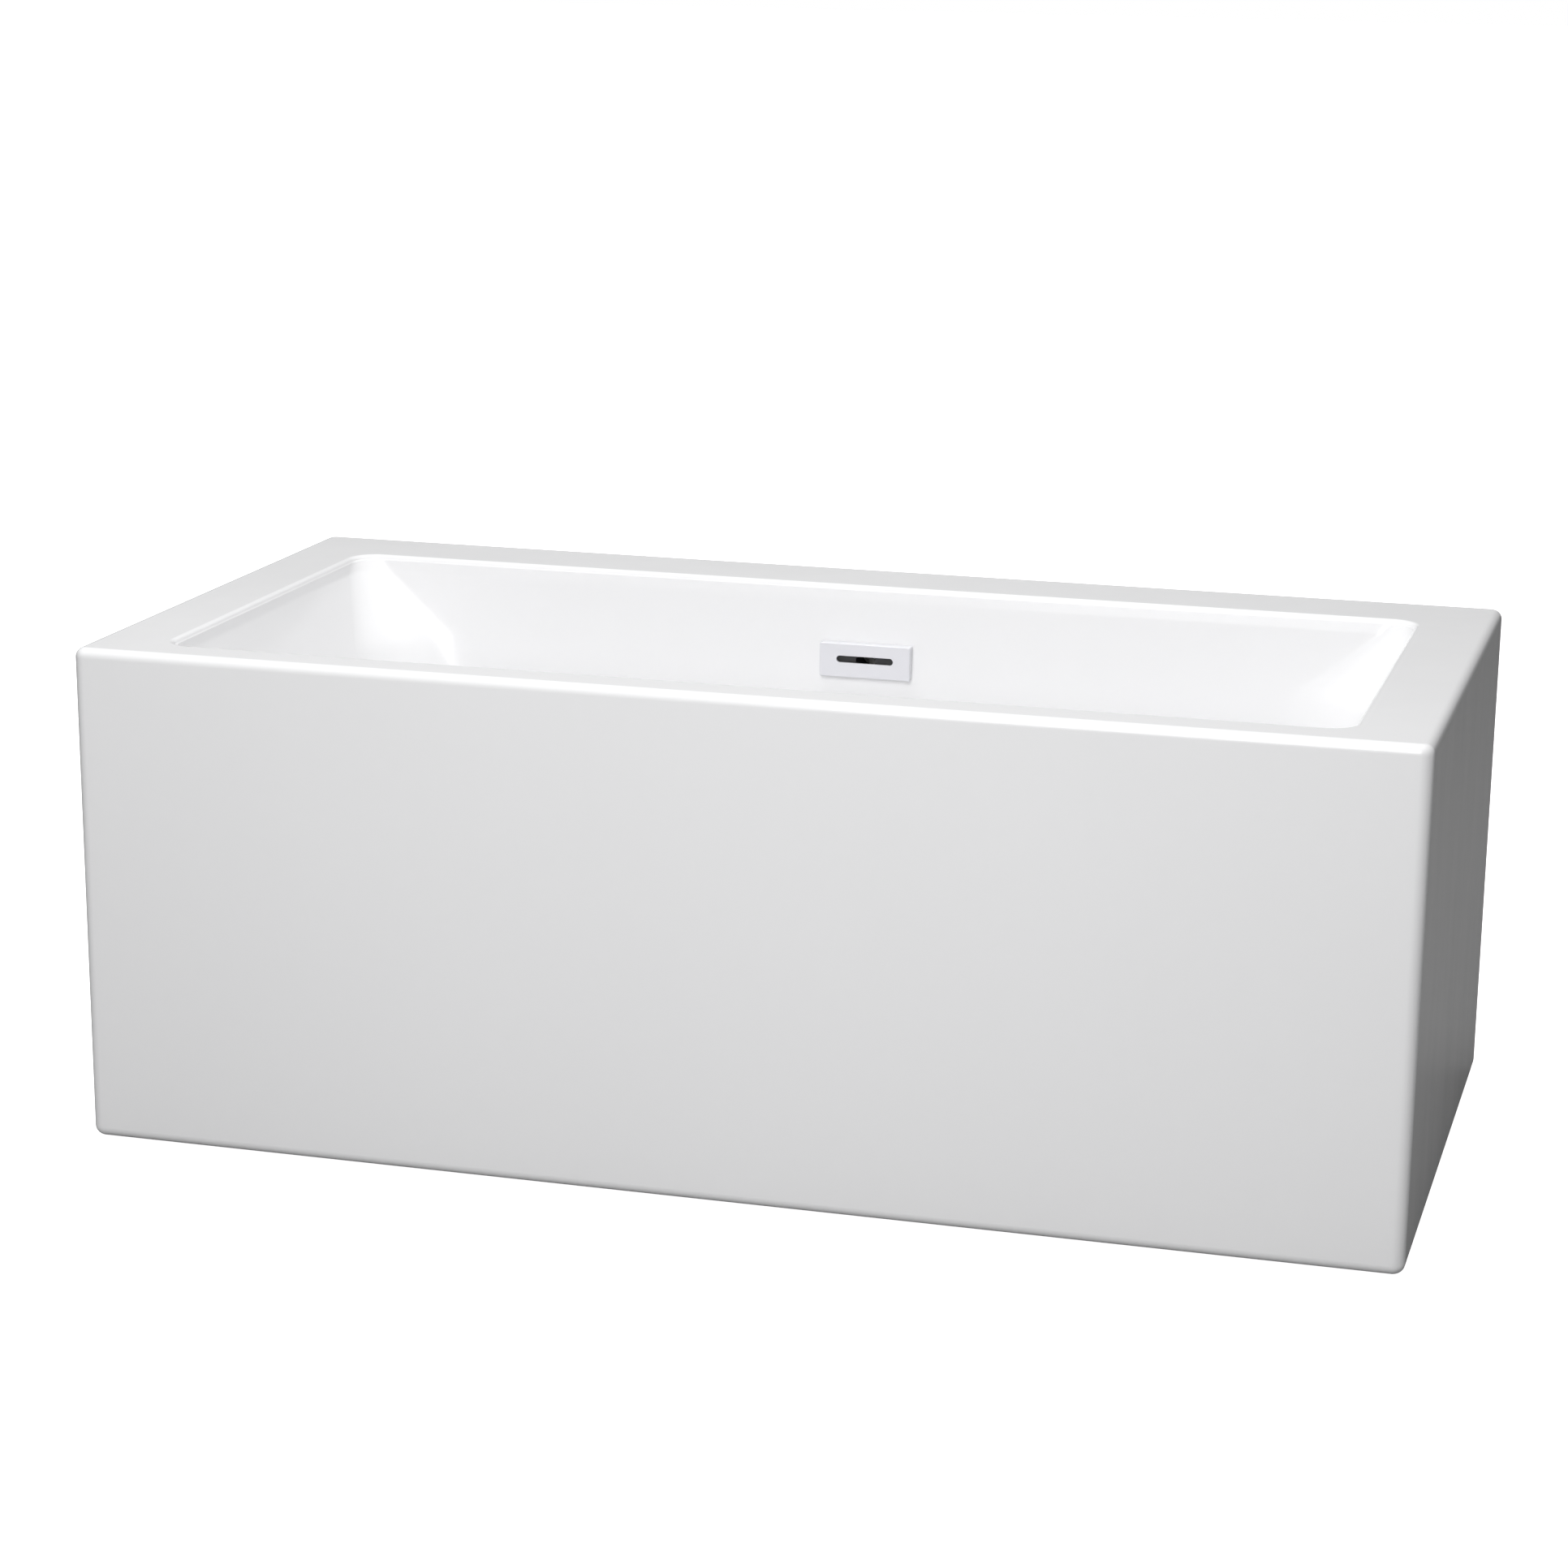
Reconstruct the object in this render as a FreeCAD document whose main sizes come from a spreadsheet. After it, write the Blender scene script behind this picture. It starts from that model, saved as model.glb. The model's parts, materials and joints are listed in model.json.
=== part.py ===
"""A rectangular freestanding bath: a moulded acrylic basin bonded into an acrylic skirt, both backed
with glass-fibre laminate, on a welded steel frame with five levelling feet, with a push-to-close
waste, a slotted overflow and the pipework that joins them.

Millimetres, +Z up, +X towards the right-hand end, -Y towards the front.
The origin is on the ground under the middle of the bath.
"""
import FreeCAD, Part
import math
import os
import Sketcher
from FreeCAD import Placement, Rotation, Vector

SIZES = {
    # outside
    "overall_length": 1524,
    "overall_width": 756,
    "rim_height": 584,
    "floor_gap": 3,
    "corner_radius": 14,
    "rim_edge_radius": 11,
    "hem_radius": 12,
    # rim and basin
    "end_rim": 90,
    "front_rim": 55,
    "back_rim": 113,
    "mouth_corner": 30,
    "mouth_roll": 6,
    "band_depth": 18,
    "band_taper": 3,
    "band_corner": 45,
    "shoulder_drop": 80,
    "shoulder_corner": 110,
    "floor_height": 140,
    "backrest_run": 188,
    "side_run": 32,
    "floor_corner": 130,
    "floor_fillet": 70,
    # shells
    "acrylic": 4,
    "laminate": 3,
    "lip_drop": 30,
    "laminate_gap": 1,
    "hem_width": 28,
    "strip_above": 18,
    "strip_below": 30,
    # battens and board
    "batten_thickness": 18,
    "batten_gap": 6,
    "end_batten_gap": 40,
    "board_thickness": 15,
    "board_inset": 68,
    "board_corner": 40,
    "board_hole": 45,
    # frame
    "tube_side": 25,
    "tube_wall": 1.5,
    "rail_inset": 32,
    "rail_end_gap": 162,
    "end_cross_inset": 40,
    "middle_cross_reach": 150,
    "cap_head": 2,
    "cap_plug": 12,
    "bracket_steel": 3,
    "bracket_width": 32,
    "bracket_foot": 40,
    "bracket_rise": 36,
    "screw_shank": 2.5,
    "screw_head": 5,
    "screw_head_height": 2.5,
    "board_screw_bite": 11,
    "board_screw_near": 85,
    "board_screw_far": 320,
    "bracket_screw_inset": 24,
    "bracket_screw_bite": 4.5,
    # feet
    "foot_inset": 98,
    "pad_radius": 25,
    "pad_rim": 6,
    "pad_height": 18,
    "pad_neck": 12,
    "pad_socket_floor": 7,
    "stud_radius": 6,
    "stud_reach": 20,
    "stud_hole_gap": 0.4,
    "collar_width": 19,
    "collar_height": 8,
    "collar_gap": 2,
    "nut_width": 19,
    "weld_nut_height": 10,
    "lock_nut_height": 6,
    # waste
    "waste_hole": 25,
    "waste_head": 34,
    "waste_head_height": 2.5,
    "waste_tube": 23,
    "waste_bore": 20,
    "waste_reach": 40,
    "gasket": 1,
    "washer": 4,
    "waste_flange_height": 4,
    "waste_flange": 38,
    "waste_body": 28,
    "inlet_clearance": 2.6,
    "inlet_drop": 70,
    "inlet_reach": 62,
    "grid_drop": 32,
    "grid_height": 4,
    "grid_bar": 4,
    "hub_radius": 8,
    "spigot_radius": 3.5,
    "latch_radius": 7,
    "latch_height": 20,
    "stem_radius": 4,
    "stem_drop": 25,
    "cap_radius": 29,
    "cap_thickness": 4,
    "cap_round": 1.5,
    "seal_radius": 25,
    "seal_height": 2,
    "seal_gap": 0.05,
    # pipes
    "outlet_radius": 20,
    "outlet_clearance": 10,
    "outlet_bead": 22,
    "outlet_bead_height": 2,
    "pipe_radius": 16,
    "pipe_wall": 2,
    "pipe_bend": 50,
    "pipe_entry": 14,
    "socket_wall": 3.4,
    "nut_wall": 5.4,
    "nut_cover": 12,
    "pipe_seal": 4,
    "nut_lip": 4,
    # overflow
    "overflow_drop": 91,
    "overflow_hole": 16,
    "drill_reach": 21,
    "cover_length": 115,
    "cover_height": 42,
    "cover_depth": 12,
    "cover_wall": 3,
    "slot_length": 72,
    "slot_height": 8.5,
    "slot_raise": 1.5,
    "carrier_gap": 1.5,
    "carrier_thickness": 3.6,
    "carrier_stand": 2.4,
    "carrier_spigot": 15,
    "carrier_bore": 12.5,
    "carrier_reach": 24,
    "grub_radius": 1.5,
    "grub_spacing": 60,
    "elbow_flange": 24,
    "elbow_plate": 4,
    "elbow_wall": 1.6,
    "elbow_way": 14,
    "elbow_axis": 42,
    "elbow_drop": 50,
    "elbow_end": 5,
    # clearances
    "turn_gap": 0.1,
    "fit_gap": 0.1,
    "screw_gap": 0.1,
    "cover_gap": 0.3,
}

# Places that several sub-parts share, each worked out from the sizes above.
PLACES = {
    "half_length": "overall_length / 2",
    "half_width": "overall_width / 2",
    "backing": "acrylic + laminate",
    "mouth_x": "half_length - end_rim",
    "mouth_y": "(overall_width - front_rim - back_rim) / 2",
    "basin_y": "(front_rim - back_rim) / 2",
    "band_foot": "rim_height - band_depth",
    "floor_x": "mouth_x - band_taper - backrest_run",
    "floor_y": "mouth_y - band_taper - side_run",
    "end_slope": "backrest_run / (band_foot - floor_height)",
    "side_slope": "side_run / (band_foot - floor_height)",
    "joint_height": "rim_height - lip_drop",
    "deck_underside": "rim_height - backing",
    "board_top": "floor_height - backing",
    "board_x": "floor_x - board_inset",
    "board_y": "floor_y - board_inset",
    "rail_top": "board_top - board_thickness",
    "rail_foot": "rail_top - tube_side",
    "cross_foot": "rail_foot - tube_side",
    "rail_x": "half_length - rail_end_gap",
    "rail_y": "board_y - rail_inset",
    "bracket_y": "half_width - backing",
    "cross_y": "bracket_y - bracket_steel - cap_head",
    "end_cross_x": "rail_x - end_cross_inset",
    "weld_nut_foot": "cross_foot - weld_nut_height",
    "lock_nut_foot": "weld_nut_foot - lock_nut_height",
    "waste_seat": "floor_height + gasket",
    "waste_top": "waste_seat + waste_head_height",
    "waste_tube_foot": "floor_height - waste_reach",
    "washer_foot": "board_top - washer",
    "body_top": "washer_foot",
    "inlet_height": "floor_height - inlet_drop",
    "inlet_end": "basin_y + inlet_reach",
    "grid_foot": "floor_height - grid_drop",
    "grid_top": "grid_foot + grid_height",
    "stem_foot": "floor_height - stem_drop",
    "seal_foot": "waste_top + seal_gap",
    "cap_foot": "seal_foot + seal_height",
    "outlet_bore": "outlet_radius - pipe_wall",
    "pipe_bore": "pipe_radius - pipe_wall",
    "pipe_socket": "pipe_radius + socket_wall",
    "body_foot": "inlet_height - pipe_socket - nut_cover - inlet_clearance",
    "body_height": "body_top - body_foot",
    "outlet_nut_foot": "body_foot - pipe_seal - nut_lip",
    "overflow_height": "rim_height - overflow_drop",
    "wall_y": "basin_y + mouth_y - band_taper - side_slope * (band_foot - overflow_height)",
    "wall_back": "wall_y + backing",
    "elbow_face": "wall_back + washer",
    "pipe_y": "wall_back + elbow_axis",
    "elbow_radius": "pipe_socket + elbow_wall",
    "elbow_length": "elbow_axis + elbow_radius",
    "elbow_foot": "overflow_height - elbow_drop",
    "carrier_back": "wall_y - carrier_stand",
    "carrier_front": "carrier_back - carrier_thickness",
    "cover_front": "wall_y - cover_depth",
}

doc = FreeCAD.newDocument("Bath")


def add_sheet():
    """Puts the driving sizes in one column of the sheet and the shared places in the next."""
    page = doc.addObject("Spreadsheet::Sheet", "Sizes")
    for row, (name, value) in enumerate(SIZES.items(), start=1):
        page.set(f"A{row}", str(value))
        page.setAlias(f"A{row}", name)
    for row, (name, rule) in enumerate(PLACES.items(), start=1):
        page.set(f"B{row}", f"={rule}")
        page.setAlias(f"B{row}", name)
    doc.recompute()
    return page


sheet = add_sheet()
known = {*SIZES, *PLACES}
parts = []


def bound(rule):
    """An expression on the sheet's names, as an object's property takes it."""
    words = []
    word = ""
    for letter in f"{rule} ":
        if letter.isalnum() or letter == "_":
            word += letter
        else:
            words.append(f"Sizes.{word}" if word in known else word)
            words.append(letter)
            word = ""
    return "".join(words).strip()


def bind(item, **rules):
    """Ties properties of an object to expressions on the sheet."""
    for name, rule in rules.items():
        item.setExpression(name.replace("__", "."), bound(rule))
    return item


def place(item, x=0, y=0, z=0, turned=None):
    """Sets where an object stands, and how it is turned, as an axis and an angle."""
    if turned is not None:
        item.Placement = Placement(Vector(), Rotation(Vector(*turned[0]), turned[1]))
    return bind(item, Placement__Base__x=x, Placement__Base__y=y, Placement__Base__z=z)


def finish(item, name):
    """Names a finished sub-part and puts it on the list to be written."""
    item.Label = name
    parts.append(item)
    return item


# Plain shapes. Each size and place is a number or an expression on the sheet's names.


def block(long, deep, tall, x=0, y=0, z=0):
    """A box centred over (x, y), with its foot at z."""
    item = bind(doc.addObject("Part::Box", "Block"), Length=long, Width=deep, Height=tall)
    return place(item, f"({x}) - ({long}) / 2", f"({y}) - ({deep}) / 2", z)


def rod(radius, tall, x=0, y=0, z=0, turned=None):
    """A cylinder that rises from (x, y, z), or runs along the axis it is turned to."""
    item = bind(doc.addObject("Part::Cylinder", "Rod"), Radius=radius, Height=tall)
    return place(item, x, y, z, turned)


def cone(foot, top, tall, x=0, y=0, z=0):
    item = bind(doc.addObject("Part::Cone", "Cone"), Radius1=foot, Radius2=top, Height=tall)
    return place(item, x, y, z)


def prism(sides, across, tall, x=0, y=0, z=0):
    """A prism with flat sides, measured across its flats."""
    item = doc.addObject("Part::Prism", "Prism")
    item.Polygon = sides
    share = 2 * math.cos(math.pi / sides)
    bind(item, Circumradius=f"({across}) / {share}", Height=tall)
    return place(item, x, y, z)


def cut(body, *tools):
    item = doc.addObject("Part::Cut", "Cut")
    item.Base = body
    item.Tool = tools[0] if len(tools) == 1 else fuse(*tools)
    return item


def fuse(*items):
    item = doc.addObject("Part::MultiFuse", "Fuse")
    item.Shapes = list(items)
    item.Refine = True
    return item


def group(items):
    """Several separate solids kept as one sub-part."""
    item = doc.addObject("Part::Compound", "Group")
    item.Links = list(items)
    return item


ALONG_Y = ((1, 0, 0), -90)


# Sketched shapes.


def level_sketch(body, name, height, middle_y):
    """An empty level sketch whose own middle is at (0, middle_y)."""
    sketch = body.newObject("Sketcher::SketchObject", name)
    level = next(item for item in body.Origin.OriginFeatures if item.Role == "XY_Plane")
    sketch.AttachmentSupport = [(level, "")]
    sketch.MapMode = "FlatFace"
    return bind(sketch, AttachmentOffset__Base__y=middle_y, AttachmentOffset__Base__z=height)


def circle_sketch(body, radius, height, middle_y=0):
    """A level sketch of a circle, centred at (0, middle_y)."""
    sketch = level_sketch(body, "Circle", height, middle_y)
    start = 10
    circle = sketch.addGeometry(Part.Circle(Vector(), Vector(0, 0, 1), start))
    sketch.addConstraint(Sketcher.Constraint("Coincident", circle, 3, -1, 1))
    sketch.renameConstraint(sketch.addConstraint(Sketcher.Constraint("Radius", circle, start)), "radius")
    sketch.setExpression("Constraints.radius", bound(radius))
    return sketch


def rounded_sketch(body, half_x, half_y, corner, height, middle_y=0):
    """A level sketch of a rectangle with round corners, centred at (0, middle_y)."""
    sketch = level_sketch(body, "Outline", height, middle_y)
    reach_x, reach_y, radius = 80, 40, 20
    arcs = []
    for quarter, (x, y) in enumerate([(1, 1), (-1, 1), (-1, -1), (1, -1)]):
        circle = Part.Circle(Vector(x * reach_x, y * reach_y, 0), Vector(0, 0, 1), radius)
        start = quarter * math.pi / 2
        arcs.append(sketch.addGeometry(Part.ArcOfCircle(circle, start, start + math.pi / 2)))
    for quarter, arc in enumerate(arcs):
        following = arcs[(quarter + 1) % 4]
        ends = sketch.getPoint(arc, 2), sketch.getPoint(following, 1)
        side = sketch.addGeometry(Part.LineSegment(*ends))
        sketch.addConstraint(Sketcher.Constraint("Tangent", arc, 2, side, 1))
        sketch.addConstraint(Sketcher.Constraint("Tangent", side, 2, following, 1))
        sketch.addConstraint(Sketcher.Constraint("Vertical" if quarter % 2 else "Horizontal", side))
        if quarter:
            sketch.addConstraint(Sketcher.Constraint("Equal", arcs[0], arc))
    sketch.addConstraint(Sketcher.Constraint("Symmetric", arcs[0], 3, arcs[2], 3, -1, 1))
    measures = {
        "along": (Sketcher.Constraint("DistanceX", arcs[1], 3, arcs[0], 3, 2 * reach_x),
                  f"2 * ({half_x} - ({corner}))"),
        "across": (Sketcher.Constraint("DistanceY", arcs[3], 3, arcs[0], 3, 2 * reach_y),
                   f"2 * ({half_y} - ({corner}))"),
        "corner": (Sketcher.Constraint("Radius", arcs[0], radius), corner),
    }
    for name, (constraint, rule) in measures.items():
        sketch.renameConstraint(sketch.addConstraint(constraint), name)
        sketch.setExpression(f"Constraints.{name}", bound(rule))
    return sketch


def new_body(name):
    return doc.addObject("PartDesign::Body", name)


def pad(body, sketch, tall):
    feature = body.newObject("PartDesign::Pad", "Pad")
    feature.Profile = sketch
    return bind(feature, Length=tall)


def pocket(body, sketch, deep, upwards=True):
    feature = body.newObject("PartDesign::Pocket", "Pocket")
    feature.Profile = sketch
    feature.Reversed = upwards
    return bind(feature, Length=deep)


def round_edges(body, feature, height, radius, chosen=lambda middle: True):
    """Rounds the level edges at one height of a feature."""
    doc.recompute()
    level = float(sheet.get(height)) if isinstance(height, str) else height
    names = []
    for number, edge in enumerate(feature.Shape.Edges, start=1):
        box = edge.BoundBox
        if abs(box.ZMin - level) < 0.01 and abs(box.ZMax - level) < 0.01 and chosen(edge.CenterOfMass):
            names.append(f"Edge{number}")
    fillet = body.newObject("PartDesign::Fillet", "Rounding")
    fillet.Base = (feature, names)
    return bind(fillet, Radius=radius)


def ring(name, inset, wall, foot, tall):
    """An upright wall all round, following the outside of the bath at a distance inside it."""
    body = new_body(name)
    outer = rounded_sketch(body, f"half_length - ({inset})", f"half_width - ({inset})",
                           f"corner_radius - ({inset})", foot)
    pad(body, outer, tall)
    inner_inset = f"{inset} + {wall}"
    inner = rounded_sketch(body, f"half_length - ({inner_inset})", f"half_width - ({inner_inset})",
                           f"corner_radius - ({inner_inset})", foot)
    pocket(body, inner, tall)
    return body


def bowl(body, kind, skin, top="rim_height"):
    """The basin's hollow as a solid, grown outwards by a skin, added to a body or taken from it."""
    steps = [
        ("mouth_x", "mouth_y", "mouth_corner", top),
        ("mouth_x - band_taper", "mouth_y - band_taper", "band_corner", "band_foot"),
        ("mouth_x - band_taper - end_slope * shoulder_drop",
         "mouth_y - band_taper - side_slope * shoulder_drop", "shoulder_corner",
         "band_foot - shoulder_drop"),
        (f"floor_x - end_slope * ({skin})", f"floor_y - side_slope * ({skin})", "floor_corner",
         f"floor_height - ({skin})"),
    ]
    sketches = [rounded_sketch(body, f"{x} + {skin}", f"{y} + {skin}", f"{corner} + {skin}", z, "basin_y")
                for x, y, corner, z in steps]
    loft = body.newObject(f"PartDesign::{kind}Loft", "Bowl")
    loft.Profile = sketches[0]
    loft.Sections = sketches[1:]
    loft.Ruled = True
    return loft


def outside_mouth(middle):
    """Whether a point lies on the outer edge of the rim and not on the mouth's."""
    reach_x = float(sheet.get("mouth_x")) + 1
    reach_y = float(sheet.get("mouth_y")) + 1
    return abs(middle.x) > reach_x or abs(middle.y - float(sheet.get("basin_y"))) > reach_y


def waste_drill(radius, foot, tall):
    return rod(radius, tall, y="basin_y", z=foot)


def overflow_drill(radius):
    return rod(radius, "2 * drill_reach", y="wall_y - drill_reach", z="overflow_height", turned=ALONG_Y)


# The shells.


def basin_shell():
    """The acrylic moulding that a bather sees: basin, rim and the lip turned down round it."""
    body = new_body("Basin")
    lip = pad(body, rounded_sketch(body, "half_length", "half_width", "corner_radius", "joint_height"),
              "lip_drop")
    inside = rounded_sketch(body, "half_length - acrylic", "half_width - acrylic",
                            "corner_radius - acrylic", "joint_height")
    pocket(body, inside, "lip_drop - acrylic")
    bowl(body, "Additive", "acrylic")
    hollow = bowl(body, "Subtractive", "0")
    floor = round_edges(body, hollow, "floor_height", "floor_fillet")
    under = round_edges(body, floor, float(sheet.get("floor_height")) - float(sheet.get("acrylic")),
                        "floor_fillet + acrylic")
    mouth = round_edges(body, under, "rim_height", "mouth_roll", lambda middle: not outside_mouth(middle))
    round_edges(body, mouth, "rim_height", "rim_edge_radius", outside_mouth)
    holes = [waste_drill("waste_hole", "floor_height - acrylic * 2", "acrylic * 4"),
             overflow_drill("overflow_hole")]
    finish(cut(body, *holes), "basin_shell")


def basin_laminate():
    """Glass fibre sprayed on the hidden side of the basin and under the rim."""
    body = new_body("BasinBacking")
    bowl(body, "Additive", "backing", "rim_height - acrylic")
    sheet_outline = rounded_sketch(body, "half_length - acrylic - laminate_gap",
                                   "half_width - acrylic - laminate_gap",
                                   "corner_radius - acrylic - laminate_gap", "deck_underside")
    pad(body, sheet_outline, "laminate")
    hollow = bowl(body, "Subtractive", "acrylic", "rim_height")
    inner = round_edges(body, hollow, float(sheet.get("floor_height")) - float(sheet.get("acrylic")),
                        "floor_fillet + acrylic")
    round_edges(body, inner, "board_top", "floor_fillet + backing")
    holes = [waste_drill("waste_hole", "board_top - acrylic", "backing * 2"),
             overflow_drill("overflow_hole")]
    finish(cut(body, *holes), "basin_laminate")


def skirt_shell():
    """The acrylic outside of the bath, with a flange turned in at the foot."""
    body = new_body("Skirt")
    pad(body, rounded_sketch(body, "half_length", "half_width", "corner_radius", "floor_gap"),
        "joint_height - floor_gap")
    opening = rounded_sketch(body, "half_length - hem_width", "half_width - hem_width",
                             "corner_radius", "floor_gap")
    pocket(body, opening, "joint_height - floor_gap")
    inside = rounded_sketch(body, "half_length - acrylic", "half_width - acrylic",
                            "corner_radius - acrylic", "joint_height")
    hollow = pocket(body, inside, "joint_height - floor_gap - acrylic", upwards=False)
    reach = float(sheet.get("half_length")), float(sheet.get("half_width"))
    hem = float(sheet.get("corner_radius"))
    round_edges(body, hollow, "floor_gap", "hem_radius",
                lambda middle: abs(middle.x) > reach[0] - hem or abs(middle.y) > reach[1] - hem)
    finish(body, "skirt_shell")


def skirt_backing():
    """Glass fibre behind the skirt, and the strip that bonds the skirt to the basin's lip."""
    finish(ring("SkirtBacking", "acrylic", "laminate", "floor_gap + acrylic",
                "joint_height - strip_below - floor_gap - acrylic"), "skirt_laminate")
    finish(ring("JointStrip", "acrylic", "laminate", "joint_height - strip_below",
                "strip_above + strip_below"), "joint_strip")


def battens():
    """Timber under the rim, bonded to the laminate."""
    foot = "deck_underside - batten_thickness"
    edge = "backing + batten_gap"
    long = f"overall_length - 2 * ({edge})"
    for name, side, rim in (("front", -1, "front_rim"), ("back", 1, "back_rim")):
        deep = f"({rim} - 2 * ({edge}))"
        y = f"{side} * (half_width - {edge.replace(' + ', ' - ')} - {deep} / 2)"
        finish(block(long, deep, "batten_thickness", y=y, z=foot), f"batten_{name}")
    deep = f"(end_rim - 2 * ({edge}))"
    for name, side in (("left", -1), ("right", 1)):
        x = f"{side} * (half_length - {edge.replace(' + ', ' - ')} - {deep} / 2)"
        finish(block(deep, "2 * (mouth_y - end_batten_gap)", "batten_thickness", x, "basin_y", foot),
               f"batten_{name}")


# The frame.


def screw_places():
    """Where the screws go up through the rails into the board."""
    spots = []
    for reach in ("board_screw_near", "board_screw_far"):
        for side_x in (-1, 1):
            for side_y in (-1, 1):
                spots.append((f"{side_x} * {reach}", f"basin_y + {side_y} * rail_y"))
    return spots


def screw(shank, x, y, foot):
    """A screw driven upwards, its head below the foot given."""
    head = rod("screw_head", "screw_head_height", x, y, f"{foot} - screw_head_height")
    return fuse(head, rod("screw_shank", shank, x, y, foot))


def floor_board():
    """The plywood under the basin floor, which the frame is screwed to."""
    body = new_body("Board")
    pad(body, rounded_sketch(body, "board_x", "board_y", "board_corner", "rail_top", "basin_y"),
        "board_thickness")
    holes = [rod("screw_shank + screw_gap", "board_screw_bite", x, y, "rail_top")
             for x, y in screw_places()]
    holes.append(waste_drill("board_hole", "rail_top", "board_thickness"))
    finish(cut(body, *holes), "floor_board")


def square_tube(long, deep, x, y, z, along):
    """A hollow square tube that runs along X or Y."""
    hollow = "(tube_side - 2 * tube_wall)"
    inner_long = long if along == "x" else hollow
    inner_deep = deep if along == "y" else hollow
    return [block(long, deep, "tube_side", x, y, z),
            block(inner_long, inner_deep, hollow, x, y, f"{z} + tube_wall")]


def rails():
    """The two tubes that run the length of the frame under the board."""
    for name, side in (("front", -1), ("back", 1)):
        y = f"basin_y + {side} * rail_y"
        outer, inner = square_tube("2 * rail_x", "tube_side", 0, y, "rail_foot", "x")
        holes = [rod("screw_shank + screw_gap", "tube_side", x, spot_y, "rail_foot")
                 for x, spot_y in screw_places() if f" {side} * " in spot_y]
        finish(cut(outer, inner, *holes), f"frame_rail_{name}")
    bite = "tube_side + board_screw_bite - screw_gap"
    finish(group([screw(bite, x, y, "rail_foot") for x, y in screw_places()]), "board_screws")


CROSSES = {
    "left": "-end_cross_x",
    "middle_left": "-middle_cross_reach",
    "middle_right": "middle_cross_reach",
    "right": "end_cross_x",
}
FEET = {
    "front_left": ("-end_cross_x", "-(half_width - foot_inset)", "left"),
    "front_right": ("end_cross_x", "-(half_width - foot_inset)", "right"),
    "back_left": ("-end_cross_x", "half_width - foot_inset", "left"),
    "back_right": ("end_cross_x", "half_width - foot_inset", "right"),
    "middle": ("middle_cross_reach", "basin_y", "middle_right"),
}


def crosses():
    """The tubes across the frame, welded under the rails, which carry the feet."""
    screw_y = "bracket_y - bracket_screw_inset"
    for name, x in CROSSES.items():
        outer, inner = square_tube("tube_side", "2 * cross_y", x, 0, "cross_foot", "y")
        holes = [rod("stud_radius + stud_hole_gap", "tube_wall", x, foot_y, "cross_foot")
                 for foot_x, foot_y, cross in FEET.values() if cross == name]
        for side in (-1, 1):
            holes.append(rod("screw_shank + screw_gap", "tube_wall", x, f"{side} * ({screw_y})",
                             "cross_foot"))
        finish(cut(outer, inner, *holes), f"frame_cross_{name}")


def end_caps():
    """The plastic plugs in the open ends of the tubes."""
    plug = "(tube_side - 2 * tube_wall - 2 * fit_gap)"
    caps = []
    for side in (-1, 1):
        for x in CROSSES.values():
            head = block("tube_side", "cap_head", "tube_side", x, f"{side} * (cross_y + cap_head / 2)",
                         "cross_foot")
            body = block(plug, "cap_plug", plug, x, f"{side} * (cross_y - cap_plug / 2)",
                         "cross_foot + tube_wall + fit_gap")
            caps.append(fuse(head, body))
        for side_y in (-1, 1):
            y = f"basin_y + {side_y} * rail_y"
            head = block("cap_head", "tube_side", "tube_side", f"{side} * (rail_x + cap_head / 2)", y,
                         "rail_foot")
            body = block("cap_plug", plug, plug, f"{side} * (rail_x - cap_plug / 2)", y,
                         "rail_foot + tube_wall + fit_gap")
            caps.append(fuse(head, body))
    finish(group(caps), "tube_end_caps")


def brackets():
    """Steel angles that tie the ends of the cross tubes to the skirt."""
    angles = []
    screws = []
    foot = "cross_foot - bracket_steel"
    for x in CROSSES.values():
        for side in (-1, 1):
            screw_y = f"{side} * (bracket_y - bracket_screw_inset)"
            leg = block("bracket_width", "bracket_foot", "bracket_steel", x,
                        f"{side} * (bracket_y - bracket_foot / 2)", foot)
            upright = block("bracket_width", "bracket_steel", "bracket_rise", x,
                            f"{side} * (bracket_y - bracket_steel / 2)", foot)
            hole = rod("screw_shank + screw_gap", "bracket_steel", x, screw_y, foot)
            angles.append(cut(fuse(leg, upright), hole))
            screws.append(screw("bracket_steel + bracket_screw_bite", x, screw_y, foot))
    finish(group(angles), "skirt_brackets")
    finish(group(screws), "bracket_screws")


# The feet.


def foot_pad(x, y):
    """The plastic shoe that stands on the floor, with a socket for its stud."""
    shoe = rod("pad_radius", "pad_rim", x, y)
    neck = cone("pad_radius", "pad_neck", "pad_height - pad_rim", x, y, "pad_rim")
    socket = rod("stud_radius + turn_gap", "pad_height", x, y, "pad_socket_floor")
    return cut(fuse(shoe, neck), socket)


def foot_stud(x, y):
    """The threaded stud, with a collar for a spanner."""
    foot = "pad_socket_floor + turn_gap"
    shank = rod("stud_radius", f"cross_foot + stud_reach - ({foot})", x, y, foot)
    collar = prism(6, "collar_width", "collar_height", x, y, "pad_height + collar_gap")
    return fuse(shank, collar)


def nut(tall, x, y, foot):
    bore = rod("stud_radius + turn_gap", tall, x, y, foot)
    return cut(prism(6, "nut_width", tall, x, y, foot), bore)


def feet():
    for name, (x, y, cross) in FEET.items():
        finish(foot_pad(x, y), f"foot_{name}_pad")
        finish(foot_stud(x, y), f"foot_{name}_stud")
        finish(nut("lock_nut_height", x, y, "lock_nut_foot"), f"foot_{name}_lock_nut")
    welded = [nut("weld_nut_height", x, y, "weld_nut_foot") for x, y, cross in FEET.values()]
    finish(group(welded), "foot_weld_nuts")


# The waste.


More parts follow.
